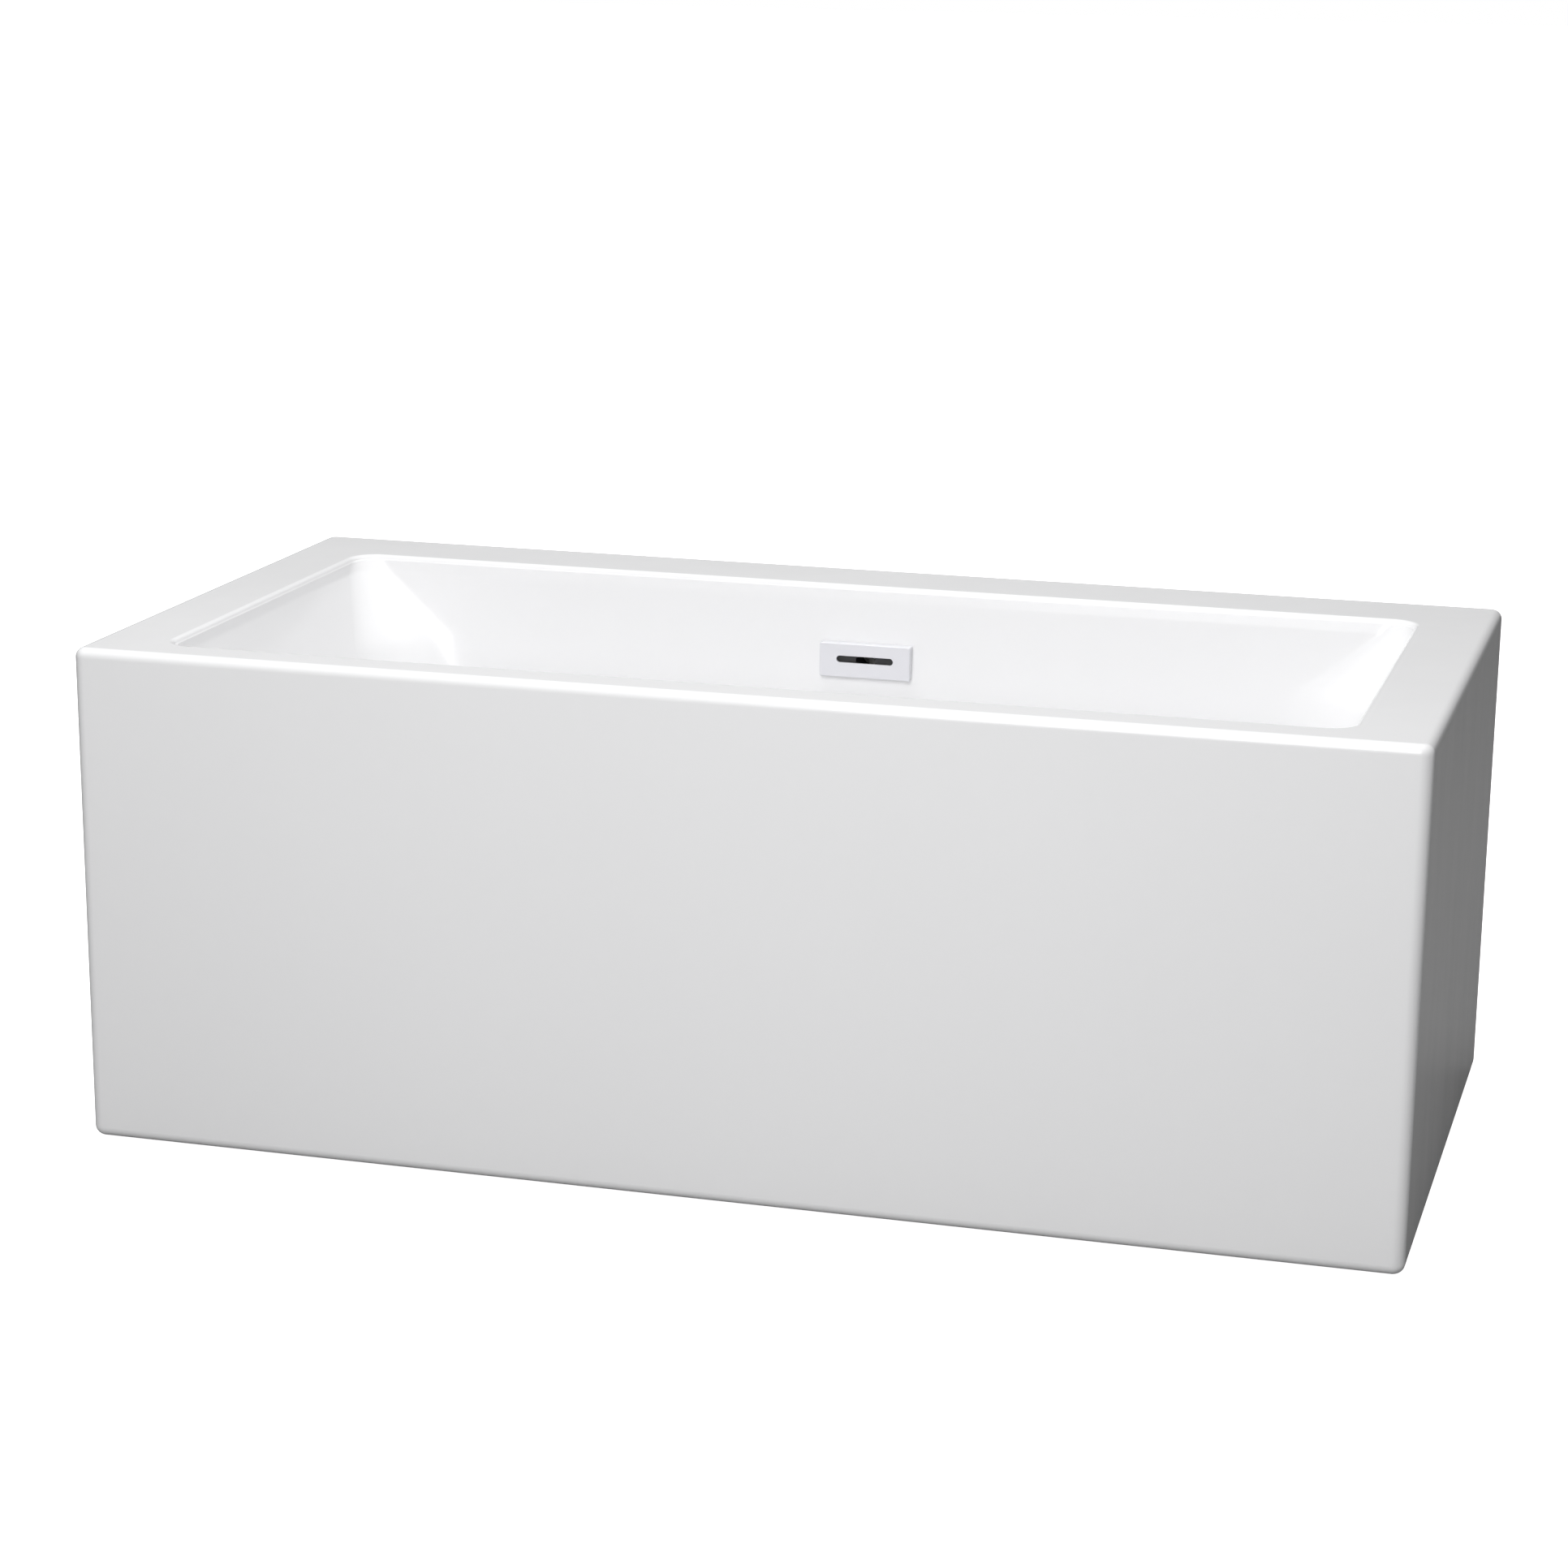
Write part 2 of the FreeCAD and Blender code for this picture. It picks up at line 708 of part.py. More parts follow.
def waste_flange():
    """The threaded flange in the basin floor, with a cross of bars that holds the latch."""
    head = waste_drill("waste_head", "waste_seat", "waste_head_height")
    tube = waste_drill("waste_tube", "waste_tube_foot", "waste_top - waste_tube_foot")
    bore = waste_drill("waste_bore", "waste_tube_foot", "waste_reach * 2")
    shell = cut(fuse(head, tube), bore)
    long = "waste_bore + waste_tube"
    bars = [block(long, "grid_bar", "grid_height", 0, "basin_y", "grid_foot"),
            block("grid_bar", long, "grid_height", 0, "basin_y", "grid_foot"),
            waste_drill("hub_radius", "grid_foot", "grid_height")]
    hole = waste_drill("spigot_radius + fit_gap", "grid_foot", "grid_height")
    finish(cut(fuse(shell, *bars), hole), "waste_flange")


def waste_ring(name, outer, inner, foot, tall):
    finish(cut(waste_drill(outer, foot, tall), waste_drill(inner, foot, tall)), name)


def waste_body():
    """The moulded body under the basin: it screws to the flange and takes the overflow's water."""
    flange = waste_drill("waste_flange", "body_top - waste_flange_height", "waste_flange_height")
    barrel = waste_drill("waste_body", "body_foot", "body_height")
    inlet = rod("pipe_socket", "inlet_reach", 0, "basin_y", "inlet_height", ALONG_Y)
    thread = waste_drill("waste_tube + fit_gap", "waste_tube_foot - fit_gap", "body_height")
    way = waste_drill("outlet_bore", "body_foot", "body_height")
    socket = waste_drill("outlet_radius + fit_gap", "body_foot", "pipe_entry")
    inlet_way = rod("pipe_bore", "inlet_reach", 0, "basin_y", "inlet_height", ALONG_Y)
    inlet_socket = rod("pipe_radius + fit_gap", "pipe_entry", 0, "inlet_end - pipe_entry",
                       "inlet_height", ALONG_Y)
    finish(cut(fuse(flange, barrel, inlet), thread, way, socket, inlet_way, inlet_socket), "waste_body")


def stopper():
    """The push-to-close stopper: a cap on a rubber seal, on a stem that slides in its latch."""
    latch = fuse(waste_drill("latch_radius", "grid_top", "latch_height"),
                 waste_drill("spigot_radius", "grid_foot", "grid_height"))
    guide = waste_drill("stem_radius + turn_gap", "stem_foot - turn_gap", "waste_reach")
    finish(cut(latch, guide), "stopper_latch")
    finish(waste_drill("stem_radius", "stem_foot", "cap_foot - stem_foot"), "stopper_stem")
    waste_ring("stopper_seal", "seal_radius", "stem_radius + fit_gap", "seal_foot", "seal_height")
    body = new_body("StopperCap")
    disc = pad(body, circle_sketch(body, "cap_radius", "cap_foot", "basin_y"), "cap_thickness")
    round_edges(body, disc, float(sheet.get("cap_foot")) + float(sheet.get("cap_thickness")), "cap_round")
    finish(body, "stopper_cap")


def outlet_pipe():
    """The tail of the waste: a plain end for a trap, up to a bead under the slip nut."""
    tall = "body_foot + pipe_entry - outlet_clearance"
    pipe = waste_drill("outlet_radius", "outlet_clearance", tall)
    bead = waste_drill("outlet_bead", "outlet_nut_foot - cover_gap - outlet_bead_height",
                       "outlet_bead_height")
    finish(cut(fuse(pipe, bead), waste_drill("outlet_bore", "outlet_clearance", tall)), "outlet_pipe")


def waste():
    waste_flange()
    waste_ring("waste_gasket", "waste_head - gasket", "waste_tube + fit_gap", "floor_height", "gasket")
    waste_ring("waste_washer", "waste_flange", "waste_tube + fit_gap", "washer_foot", "washer")
    waste_body()
    stopper()
    outlet_pipe()


# The pipework. A slip nut and its seal are made about the end of a socket, pointing upwards.


def slip_nut(name, socket, pipe, **where):
    """A nut that slides over a socket and squeezes a seal against the pipe."""
    tall = "nut_cover + pipe_seal + nut_lip"
    across = f"2 * ({socket} + nut_wall)"
    shell = prism(12, across, tall, z="-nut_cover")
    over = rod(f"{socket} + fit_gap", "nut_cover + pipe_seal", z="-nut_cover")
    through = rod(f"{pipe} + fit_gap", tall, z="-nut_cover")
    finish(place(cut(shell, over, through), **where), f"{name}_nut")
    ring_out = rod(socket, "pipe_seal")
    ring_in = rod(f"{pipe} + fit_gap", "pipe_seal")
    finish(place(cut(ring_out, ring_in), **where), f"{name}_seal")


def slip_nuts():
    downwards = ((1, 0, 0), 180)
    slip_nut("outlet", "waste_body", "outlet_radius", y="basin_y", z="body_foot", turned=downwards)
    slip_nut("pipe_lower", "pipe_socket", "pipe_radius", y="inlet_end", z="inlet_height", turned=ALONG_Y)
    slip_nut("pipe_upper", "pipe_socket", "pipe_radius", y="pipe_y", z="elbow_foot", turned=downwards)


def bend(radius):
    """A quarter turn of the overflow pipe, from upright to level."""
    item = doc.addObject("Part::Torus", "Bend")
    item.Angle3 = 90
    bind(item, Radius1="pipe_bend", Radius2=radius)
    turn = Rotation(Vector(0, 1, 0), -90).multiply(Rotation(Vector(0, 0, 1), 90))
    item.Placement = Placement(Vector(), turn)
    return place(item, y="pipe_y - pipe_bend", z="inlet_height + pipe_bend")


def overflow_pipe():
    runs = []
    for radius in ("pipe_radius", "pipe_bore"):
        foot = "inlet_height + pipe_bend"
        upright = rod(radius, f"elbow_foot + pipe_entry - ({foot})", 0, "pipe_y", foot)
        start = "inlet_end - pipe_entry"
        level = rod(radius, f"pipe_y - pipe_bend - ({start})", 0, start, "inlet_height", ALONG_Y)
        runs.append(fuse(upright, bend(radius), level))
    finish(cut(*runs), "overflow_pipe")


# The overflow.


def wall_slab(skin, behind):
    """Everything in front of the basin's back wall, or behind it, as a leaning block."""
    reach = "cover_length * 2"
    item = bind(doc.addObject("Part::Box", "Wall"), Length=reach, Width=reach, Height=reach)
    up = "cover_length"
    front = "0" if behind else reach
    swing = f"({up} * sin(atan(side_slope)) + {front} * cos(atan(side_slope)))"
    drop = f"({up} * cos(atan(side_slope)) - {front} * sin(atan(side_slope)))"
    place(item, "-cover_length", f"wall_y + {skin} - {swing}", f"overflow_height - {drop}",
          ((1, 0, 0), 1))
    return bind(item, Placement__Rotation__Angle="-atan(side_slope)")


def overflow_elbow():
    """The elbow behind the wall: a barrel that takes the carrier, and a socket for the pipe."""
    flange = rod("elbow_flange", "elbow_plate", 0, "elbow_face", "overflow_height", ALONG_Y)
    barrel = rod("elbow_radius", "wall_back + elbow_length - elbow_face", 0, "elbow_face",
                 "overflow_height", ALONG_Y)
    spout = rod("pipe_socket", "elbow_drop", 0, "pipe_y", "elbow_foot")
    thread = rod("carrier_spigot + fit_gap", "wall_back + carrier_reach - elbow_face", 0, "elbow_face",
                 "overflow_height", ALONG_Y)
    way = rod("elbow_way", "wall_back + elbow_length - elbow_end - elbow_face", 0, "elbow_face",
              "overflow_height", ALONG_Y)
    down = rod("pipe_bore", "elbow_drop", 0, "pipe_y", "elbow_foot")
    socket = rod("pipe_radius + fit_gap", "pipe_entry", 0, "pipe_y", "elbow_foot")
    finish(cut(fuse(flange, barrel, spout), thread, way, down, socket), "overflow_elbow")


def overflow_carrier():
    """The plate inside the overflow cover, whose threaded spigot holds the elbow to the wall."""
    rim = "2 * (cover_wall + carrier_gap)"
    plate = block(f"cover_length - {rim}", "carrier_thickness", f"cover_height - {rim}", 0,
                  "carrier_front + carrier_thickness / 2",
                  f"overflow_height - (cover_height - {rim}) / 2")
    spigot = rod("carrier_spigot", "wall_back + carrier_reach - carrier_back", 0, "carrier_back",
                 "overflow_height", ALONG_Y)
    bore = rod("carrier_bore", "wall_back + carrier_reach - carrier_front", 0, "carrier_front",
               "overflow_height", ALONG_Y)
    finish(cut(fuse(plate, spigot), bore), "overflow_carrier")


def overflow_seals():
    """The rubber wedges that seal the leaning wall, in front of it and behind it."""
    around = "carrier_spigot + fit_gap"
    front = rod("overflow_hole", "carrier_stand * 2", 0, "carrier_back", "overflow_height", ALONG_Y)
    front_bore = rod(around, "carrier_stand * 2", 0, "carrier_back", "overflow_height", ALONG_Y)
    finish(cut(front, front_bore, wall_slab("0", True)), "overflow_gasket")
    back = rod("elbow_flange", "washer * 2", 0, "elbow_face - washer * 2", "overflow_height", ALONG_Y)
    back_bore = rod(around, "washer * 2", 0, "elbow_face - washer * 2", "overflow_height", ALONG_Y)
    finish(cut(back, back_bore, wall_slab("backing", False)), "overflow_washer")


def overflow_cover():
    """The rectangular cover over the overflow, open behind, with a slot for the water."""
    foot = "overflow_height - cover_height / 2"
    deep = "cover_depth * 2"
    outer = block("cover_length", deep, "cover_height", 0, f"cover_front + {deep} / 2", foot)
    inner = block("cover_length - 2 * cover_wall", deep, "cover_height - 2 * cover_wall", 0,
                  f"cover_front + cover_wall + {deep} / 2", f"{foot} + cover_wall")
    slot_z = "overflow_height + slot_raise"
    slot = [block("slot_length - slot_height", "cover_wall", "slot_height", 0,
                  "cover_front + cover_wall / 2", f"{slot_z} - slot_height / 2")]
    holes = []
    grubs = []
    for side in (-1, 1):
        slot.append(rod("slot_height / 2", "cover_wall", f"{side} * (slot_length - slot_height) / 2",
                        "cover_front", slot_z, ALONG_Y))
        x = f"{side} * grub_spacing / 2"
        y = "carrier_front + carrier_thickness / 2"
        holes.append(rod("grub_radius + screw_gap", "cover_wall", x, y, foot))
        grubs.append(rod("grub_radius", "cover_wall + carrier_gap", x, y, foot))
    wall = wall_slab("-cover_gap", True)
    finish(cut(outer, inner, *slot, *holes, wall), "overflow_cover")
    finish(group(grubs), "overflow_grub_screws")


def overflow():
    overflow_elbow()
    overflow_carrier()
    overflow_seals()
    overflow_cover()


def check(item):
    """Stops the build if a finished sub-part has no sound shape."""
    shape = item.Shape
    if shape.isNull() or not shape.isValid() or not shape.Solids:
        raise RuntimeError(f"{item.Label} has no sound shape")


def build():
    basin_shell()
    basin_laminate()
    skirt_shell()
    skirt_backing()
    battens()
    floor_board()
    rails()
    crosses()
    end_caps()
    brackets()
    feet()
    waste()
    slip_nuts()
    overflow_pipe()
    overflow()
    doc.recompute()
    for item in doc.Objects:
        if "Invalid" in item.State or "Error" in item.State:
            raise RuntimeError(f"{item.Name} ({item.Label}) failed: {item.State}")
    os.makedirs("parts", exist_ok=True)
    for item in parts:
        check(item)
        item.Shape.exportStep(f"parts/{item.Label}.step")
        box = item.Shape.BoundBox
        print(f"{item.Label}: {len(item.Shape.Solids)} solid(s), {item.Shape.Volume / 1000:.1f} cm3,"
              f" {box.XLength:.1f} x {box.YLength:.1f} x {box.ZLength:.1f} from z {box.ZMin:.1f}")


build()
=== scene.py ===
"""The looks of a rectangular freestanding bath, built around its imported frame.

Metres, in the frame's own place: +Z up, the front towards -Y, the ground at z = 0.
"""
import json
import math
from collections import namedtuple

import bmesh
import bpy
from bpy.props import FloatProperty, FloatVectorProperty, IntProperty, PointerProperty
from mathutils import Matrix, Vector


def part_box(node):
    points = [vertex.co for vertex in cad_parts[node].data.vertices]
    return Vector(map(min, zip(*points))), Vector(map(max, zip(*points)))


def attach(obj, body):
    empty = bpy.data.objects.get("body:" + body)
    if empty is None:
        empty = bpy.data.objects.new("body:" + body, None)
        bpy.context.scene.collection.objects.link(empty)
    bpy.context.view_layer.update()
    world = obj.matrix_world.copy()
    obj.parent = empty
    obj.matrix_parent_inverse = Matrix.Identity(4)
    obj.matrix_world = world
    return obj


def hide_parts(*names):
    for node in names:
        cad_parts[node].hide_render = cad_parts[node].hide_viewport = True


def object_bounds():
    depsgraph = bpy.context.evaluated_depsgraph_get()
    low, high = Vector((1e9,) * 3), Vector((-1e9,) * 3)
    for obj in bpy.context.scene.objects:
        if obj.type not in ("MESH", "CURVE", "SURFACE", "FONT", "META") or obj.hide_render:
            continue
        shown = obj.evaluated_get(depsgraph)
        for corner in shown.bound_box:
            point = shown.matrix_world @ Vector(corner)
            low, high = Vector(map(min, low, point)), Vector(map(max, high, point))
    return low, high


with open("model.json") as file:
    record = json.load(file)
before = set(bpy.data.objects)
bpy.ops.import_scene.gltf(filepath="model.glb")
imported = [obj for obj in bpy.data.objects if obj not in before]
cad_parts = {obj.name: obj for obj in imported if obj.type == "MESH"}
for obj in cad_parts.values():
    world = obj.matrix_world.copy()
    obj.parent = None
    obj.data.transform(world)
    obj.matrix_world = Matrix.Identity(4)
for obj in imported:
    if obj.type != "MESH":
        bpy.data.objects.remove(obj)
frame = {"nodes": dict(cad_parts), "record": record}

bl_info = {
    "name": "Freestanding bath",
    "version": (1, 0, 0),
    "blender": (4, 5, 0),
    "location": "View3D > Sidebar > Bath",
    "description": "Acrylic shells, overflow, waste, feet and finishes of a freestanding bath",
    "category": "Object",
}

CAD_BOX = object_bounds()
MM = 0.001


# ---------------------------------------------------------------------------------------------
# Sizes and colours that can be changed from the panel


def length(name, description, default, low=0.0, high=10.0):
    return FloatProperty(name=name, description=description, default=default, min=low, max=high,
                         unit="LENGTH", precision=4)


def colour(name, description, default):
    return FloatVectorProperty(name=name, description=description, default=default, min=0, max=1,
                               size=3, subtype="COLOR")


class BathShape(bpy.types.PropertyGroup):
    """Sizes of the basin and the skirt"""
    corner: length("Corner", "Upright outside corners, in plan", 14 * MM)
    rim_edge: length("Rim edge", "Outer edge of the rim", 11 * MM)
    hem: length("Hem", "Bottom outer edge of the skirt", 12 * MM)
    hem_width: length("Hem width", "Flange turned in under the skirt", 28 * MM)
    end_rim: length("End rim", "Width of the rim at each end", 90 * MM)
    front_rim: length("Front rim", "Width of the front rim", 55 * MM)
    back_rim: length("Back rim", "Width of the back rim", 113 * MM)
    mouth_corner: length("Mouth corner", "Corners of the basin's mouth, in plan", 30 * MM)
    mouth_roll: length("Mouth roll", "Rounded inner edge of the rim", 6 * MM)
    band_depth: length("Band depth", "Upright band under the rim", 18 * MM)
    band_taper: length("Band taper", "How far the band comes in", 3 * MM)
    band_corner: length("Band corner", "Corners at the foot of the band, in plan", 45 * MM)
    shoulder_drop: length("Shoulder drop", "From the band down to the shoulder", 80 * MM)
    shoulder_corner: length("Shoulder corner", "Corners at the shoulder, in plan", 110 * MM)
    crease: length("Crease", "Rounding where the band meets the wall", 2 * MM)
    floor_height: length("Floor height", "Basin floor above the ground", 140 * MM)
    backrest_run: length("Backrest run", "How far each end slopes in", 188 * MM)
    side_run: length("Side run", "How far each side slopes in", 32 * MM)
    floor_corner: length("Floor corner", "Corners of the basin floor, in plan", 130 * MM)
    floor_fillet: length("Floor fillet", "Curve from the walls into the floor", 70 * MM)
    skin: length("Acrylic", "Thickness of the acrylic", 4 * MM)
    waste_hole: length("Waste hole", "Radius of the hole in the basin floor", 25 * MM)
    overflow_hole: length("Overflow hole", "Radius of the hole behind the cover", 16 * MM)


class BathFinishes(bpy.types.PropertyGroup):
    """Colours of the finishes"""
    acrylic: colour("Acrylic", "Gloss white of the shells", (0.86, 0.86, 0.867))
    trim: colour("Trim", "Gloss white of the overflow cover and stopper", (0.75, 0.75, 0.785))
    laminate: colour("Laminate", "Sprayed glass fibre", (0.62, 0.56, 0.40))
    timber: colour("Timber", "Battens under the rim", (0.58, 0.38, 0.20))
    plywood: colour("Plywood", "Board under the floor", (0.52, 0.34, 0.17))
    frame_paint: colour("Frame paint", "Powder coat of the frame", (0.30, 0.31, 0.32))
    pipe: colour("Pipe", "Moulded pipe fittings", (0.72, 0.72, 0.70))


class StageLook(bpy.types.PropertyGroup):
    """Light, floor and camera"""
    key: FloatProperty(name="Key", description="Wide soft light in front", default=69, min=0,
                       subtype="POWER")
    top: FloatProperty(name="Top", description="Soft light from above", default=85, min=0,
                       subtype="POWER")
    fill: FloatProperty(name="Fill", description="Weak low light from the right", default=1.4, min=0,
                        subtype="POWER")
    air: FloatProperty(name="Air", description="Light from all round", default=0.26, min=0)
    floor: colour("Floor", "Plain pale floor", (0.93, 0.93, 0.93))
    floor_glow: FloatProperty(name="Floor glow", description="How far the floor's own light lifts it",
                              default=1.0, min=0)
    floor_return: FloatProperty(name="Floor return", description="Share of light the floor sends back",
                                default=0.25, min=0, max=1)
    lens: FloatProperty(name="Lens", description="Focal length of the camera", default=85.46,
                        min=10, unit="CAMERA")
    shift: FloatVectorProperty(name="Shift", description="Sideways and upward shift of the lens",
                               default=(-0.0096, 0.0735), size=2)
    stand: FloatVectorProperty(name="Stand", description="Where the camera stands",
                               default=(1.1196, -4.1174, 1.4624), size=3, subtype="TRANSLATION")
    aim: FloatVectorProperty(name="Aim", description="Turn, fall and lean of the camera, in degrees",
                             default=(15.38, 15.81, 0.657), size=3)


# ---------------------------------------------------------------------------------------------
# Finishes


class Signal:
    """A socket that adds a Math node when it is used in an expression."""

    def __init__(self, finish, socket):
        self.finish = finish
        self.socket = socket

    def maths(self, operation, *values):
        inputs = dict(enumerate(values))
        return self.finish.node("ShaderNodeMath", {"operation": operation}, inputs)

    def __add__(self, other):
        return self.maths("ADD", self, other)

    def __radd__(self, other):
        return self.maths("ADD", other, self)

    def __sub__(self, other):
        return self.maths("SUBTRACT", self, other)

    def __rsub__(self, other):
        return self.maths("SUBTRACT", other, self)

    def __mul__(self, other):
        return self.maths("MULTIPLY", self, other)

    def __rmul__(self, other):
        return self.maths("MULTIPLY", other, self)


class Finish:
    """A material made of nodes around one Principled shader."""

    def __init__(self, name, **constants):
        self.material = bpy.data.materials.new(name)
        self.material.use_nodes = True
        self.tree = self.material.node_tree
        self.shader = self.tree.nodes["Principled BSDF"]
        for socket, value in constants.items():
            self.shader.inputs[socket.replace("_", " ")].default_value = value

    def node(self, kind, settings=None, inputs=None, output=0):
        """Adds a node, sets it up and returns one of its outputs."""
        made = self.tree.nodes.new(kind)
        for name, value in (settings or {}).items():
            if name == "stops":
                self.stops(made.color_ramp, value)
            else:
                setattr(made, name, value)
        for name, value in (inputs or {}).items():
            self.plug(made.inputs[name], value)
        return Signal(self, made.outputs[output])

    def stops(self, ramp, stops):
        while len(ramp.elements) < len(stops):
            ramp.elements.new(1.0)
        for element, (position, shade) in zip(ramp.elements, stops):
            element.position = position
            element.color = (*shade, 1.0)

    def plug(self, socket, value):
        if isinstance(value, Signal):
            self.tree.links.new(value.socket, socket)
        elif hasattr(value, "__len__") and socket.type == "RGBA":
            socket.default_value = (*value[:3], 1.0)
        else:
            socket.default_value = value

    def feed(self, **signals):
        """Connects what varies over the surface to the shader."""
        for name, value in signals.items():
            self.plug(self.shader.inputs[name.replace("_", " ")], value)

    def place(self, scale=(1, 1, 1), turn=(0, 0, 0)):
        """Where a point lies on the piece, in metres times the scale."""
        spot = self.node("ShaderNodeTexCoord", output=3)
        return self.node("ShaderNodeMapping", None, {"Vector": spot, "Scale": scale, "Rotation": turn})

    def noise(self, scale, detail=2.0, rough=0.5, spot=None, **more):
        inputs = {"Vector": spot or self.place(), "Scale": scale, "Detail": detail, "Roughness": rough}
        return self.node("ShaderNodeTexNoise", None, {**inputs, **more})

    def ramp(self, signal, *stops):
        return self.node("ShaderNodeValToRGB", {"stops": stops}, {"Fac": signal})

    def mix(self, share, first, second, blend="MIX"):
        settings = {"data_type": "RGBA", "blend_type": blend}
        return self.node("ShaderNodeMix", settings, {0: share, 6: first, 7: second}, output=2)

    def bump(self, height, distance, strength=1.0, normal=None):
        inputs = {"Height": height, "Distance": distance, "Strength": strength}
        if normal is not None:
            inputs["Normal"] = normal
        return self.node("ShaderNodeBump", None, inputs)


def tint(shade, factor):
    return tuple(min(1.0, part * factor) for part in shade)


def gloss_acrylic(name, shade, rough=0.16):
    """Vacuum-formed acrylic: even gloss with faint orange peel, clouding and wiped marks."""
    finish = Finish(name, IOR=1.49, Specular_IOR_Level=0.3, Coat_Weight=0.08, Coat_Roughness=0.05)
    cloud = finish.noise(scale=2.3, detail=3)
    wiped = finish.noise(scale=9.0, detail=5, rough=0.6, spot=finish.place(scale=(1.0, 1.0, 0.25)))
    peel = finish.noise(scale=420.0, detail=2)
    sag = finish.bump(finish.noise(scale=1.6, detail=1), distance=0.0025, strength=0.35)
    finish.feed(Base_Color=finish.mix(cloud, tint(shade, 0.985), tint(shade, 1.012)),
                Roughness=wiped * 0.10 + rough,
                Normal=finish.bump(peel, distance=0.00002, strength=0.5, normal=sag))
    return finish.material


def sprayed_laminate(name, shade):
    """Chopped glass fibre in resin: crossed strands, lumps and uneven gloss."""
    finish = Finish(name, IOR=1.52)
    spot = finish.place()
    strands = None
    for turn in (0.3, 1.2, 2.3):
        lying = finish.place(scale=(22, 300, 300), turn=(turn, turn * 1.7, turn * 0.6))
        layer = finish.noise(scale=1.0, detail=1, rough=0.5, spot=lying)
        strands = layer if strands is None else strands.maths("MAXIMUM", strands, layer)
    lumps = finish.noise(scale=38.0, detail=4, rough=0.6, spot=spot)
    cloud = finish.noise(scale=5.0, detail=3, rough=0.55, spot=spot)
    shade_map = finish.mix(strands, tint(shade, 0.80), tint(shade, 1.25))
    finish.feed(Base_Color=finish.mix(cloud, shade_map, tint(shade, 1.05)),
                Roughness=0.62 - strands * 0.25,
                Normal=finish.bump(strands * 0.6 + lumps, distance=0.0012, strength=0.8))
    return finish.material


def sawn_timber(name, shade, along="x"):
    """Softwood: growth rings stretched along the batten, pores and saw marks."""
    finish = Finish(name, IOR=1.45)
    stretch = (1.2, 16, 16) if along == "x" else (16, 1.2, 16)
    saw = (260, 6, 6) if along == "x" else (6, 260, 6)
    grain = finish.noise(scale=4.0, detail=4, rough=0.55, spot=finish.place(scale=stretch), Distortion=0.6)
    fibre = finish.noise(scale=26.0, detail=3, rough=0.6, spot=finish.place(scale=stretch))
    marks = finish.noise(scale=1.0, detail=1, rough=0.5, spot=finish.place(scale=saw))
    rings = finish.ramp(grain, (0.35, tint(shade, 0.72)), (0.5, shade), (0.62, tint(shade, 1.25)))
    finish.feed(Base_Color=finish.mix(fibre * 0.4, rings, tint(shade, 0.8)),
                Roughness=fibre * 0.2 + 0.6,
                Normal=finish.bump(fibre + marks * 0.5, distance=0.0004, strength=0.6))
    return finish.material


def plywood(name, shade):
    """Rotary-cut face veneer, with the plies showing on the edges."""
    finish = Finish(name, IOR=1.45)
    face = finish.noise(scale=3.0, detail=5, rough=0.6, spot=finish.place(scale=(1.5, 10, 10)),
                        Distortion=1.2)
    plies = finish.node("ShaderNodeTexWave", {"wave_type": "BANDS", "bands_direction": "Z"},
                        {"Vector": finish.place(), "Scale": 52.0, "Distortion": 0.15})
    veneer = finish.ramp(face, (0.3, tint(shade, 0.8)), (0.55, shade), (0.7, tint(shade, 1.2)))
    finish.feed(Base_Color=finish.mix(plies * 0.25, veneer, tint(shade, 0.55)),
                Roughness=face * 0.15 + 0.6,
                Normal=finish.bump(face, distance=0.0005, strength=0.5))
    return finish.material


def powder_coat(name, shade):
    finish = Finish(name, IOR=1.5)
    peel = finish.noise(scale=900.0, detail=3)
    dust = finish.noise(scale=14.0, detail=4)
    finish.feed(Base_Color=finish.mix(dust, tint(shade, 0.88), tint(shade, 1.1)),
                Roughness=dust * 0.18 + 0.36,
                Normal=finish.bump(peel, distance=0.00012, strength=0.7))
    return finish.material


def zinc_plate(name, shade=(0.62, 0.63, 0.66)):
    """Zinc-plated steel: faint spangle and drawn lines."""
    finish = Finish(name, Metallic=1.0)
    spangle = finish.node("ShaderNodeTexVoronoi", None, {"Vector": finish.place(), "Scale": 160.0},
                          output=1)
    worn = finish.noise(scale=60.0, detail=4)
    lines = finish.noise(scale=1.0, detail=2, rough=0.5, spot=finish.place(scale=(120, 120, 2400)))
    plain = finish.mix(worn, tint(shade, 0.85), shade)
    finish.feed(Base_Color=finish.mix(0.10, plain, spangle, "OVERLAY"),
                Roughness=worn * 0.22 + 0.26,
                Normal=finish.bump(lines, distance=0.00003, strength=0.5))
    return finish.material


def moulded_plastic(name, shade, rough=0.45, grain=500.0):
    """Injection-moulded plastic with a fine spark-eroded grain."""
    finish = Finish(name, IOR=1.5)
    spark = finish.noise(scale=grain, detail=2)
    flow = finish.noise(scale=18.0, detail=4)
    finish.feed(Base_Color=finish.mix(flow, tint(shade, 0.9), tint(shade, 1.08)),
                Roughness=flow * 0.12 + rough,
                Normal=finish.bump(spark, distance=0.00006, strength=0.6))
    return finish.material


def black_rubber(name):
    finish = Finish(name, IOR=1.5)
    bloom = finish.noise(scale=45.0, detail=5)
    grain = finish.noise(scale=700.0, detail=2)
    finish.feed(Base_Color=finish.mix(bloom, (0.018, 0.018, 0.018), (0.045, 0.045, 0.044)),
                Roughness=bloom * 0.2 + 0.6,
                Normal=finish.bump(grain, distance=0.00008, strength=0.6))
    return finish.material


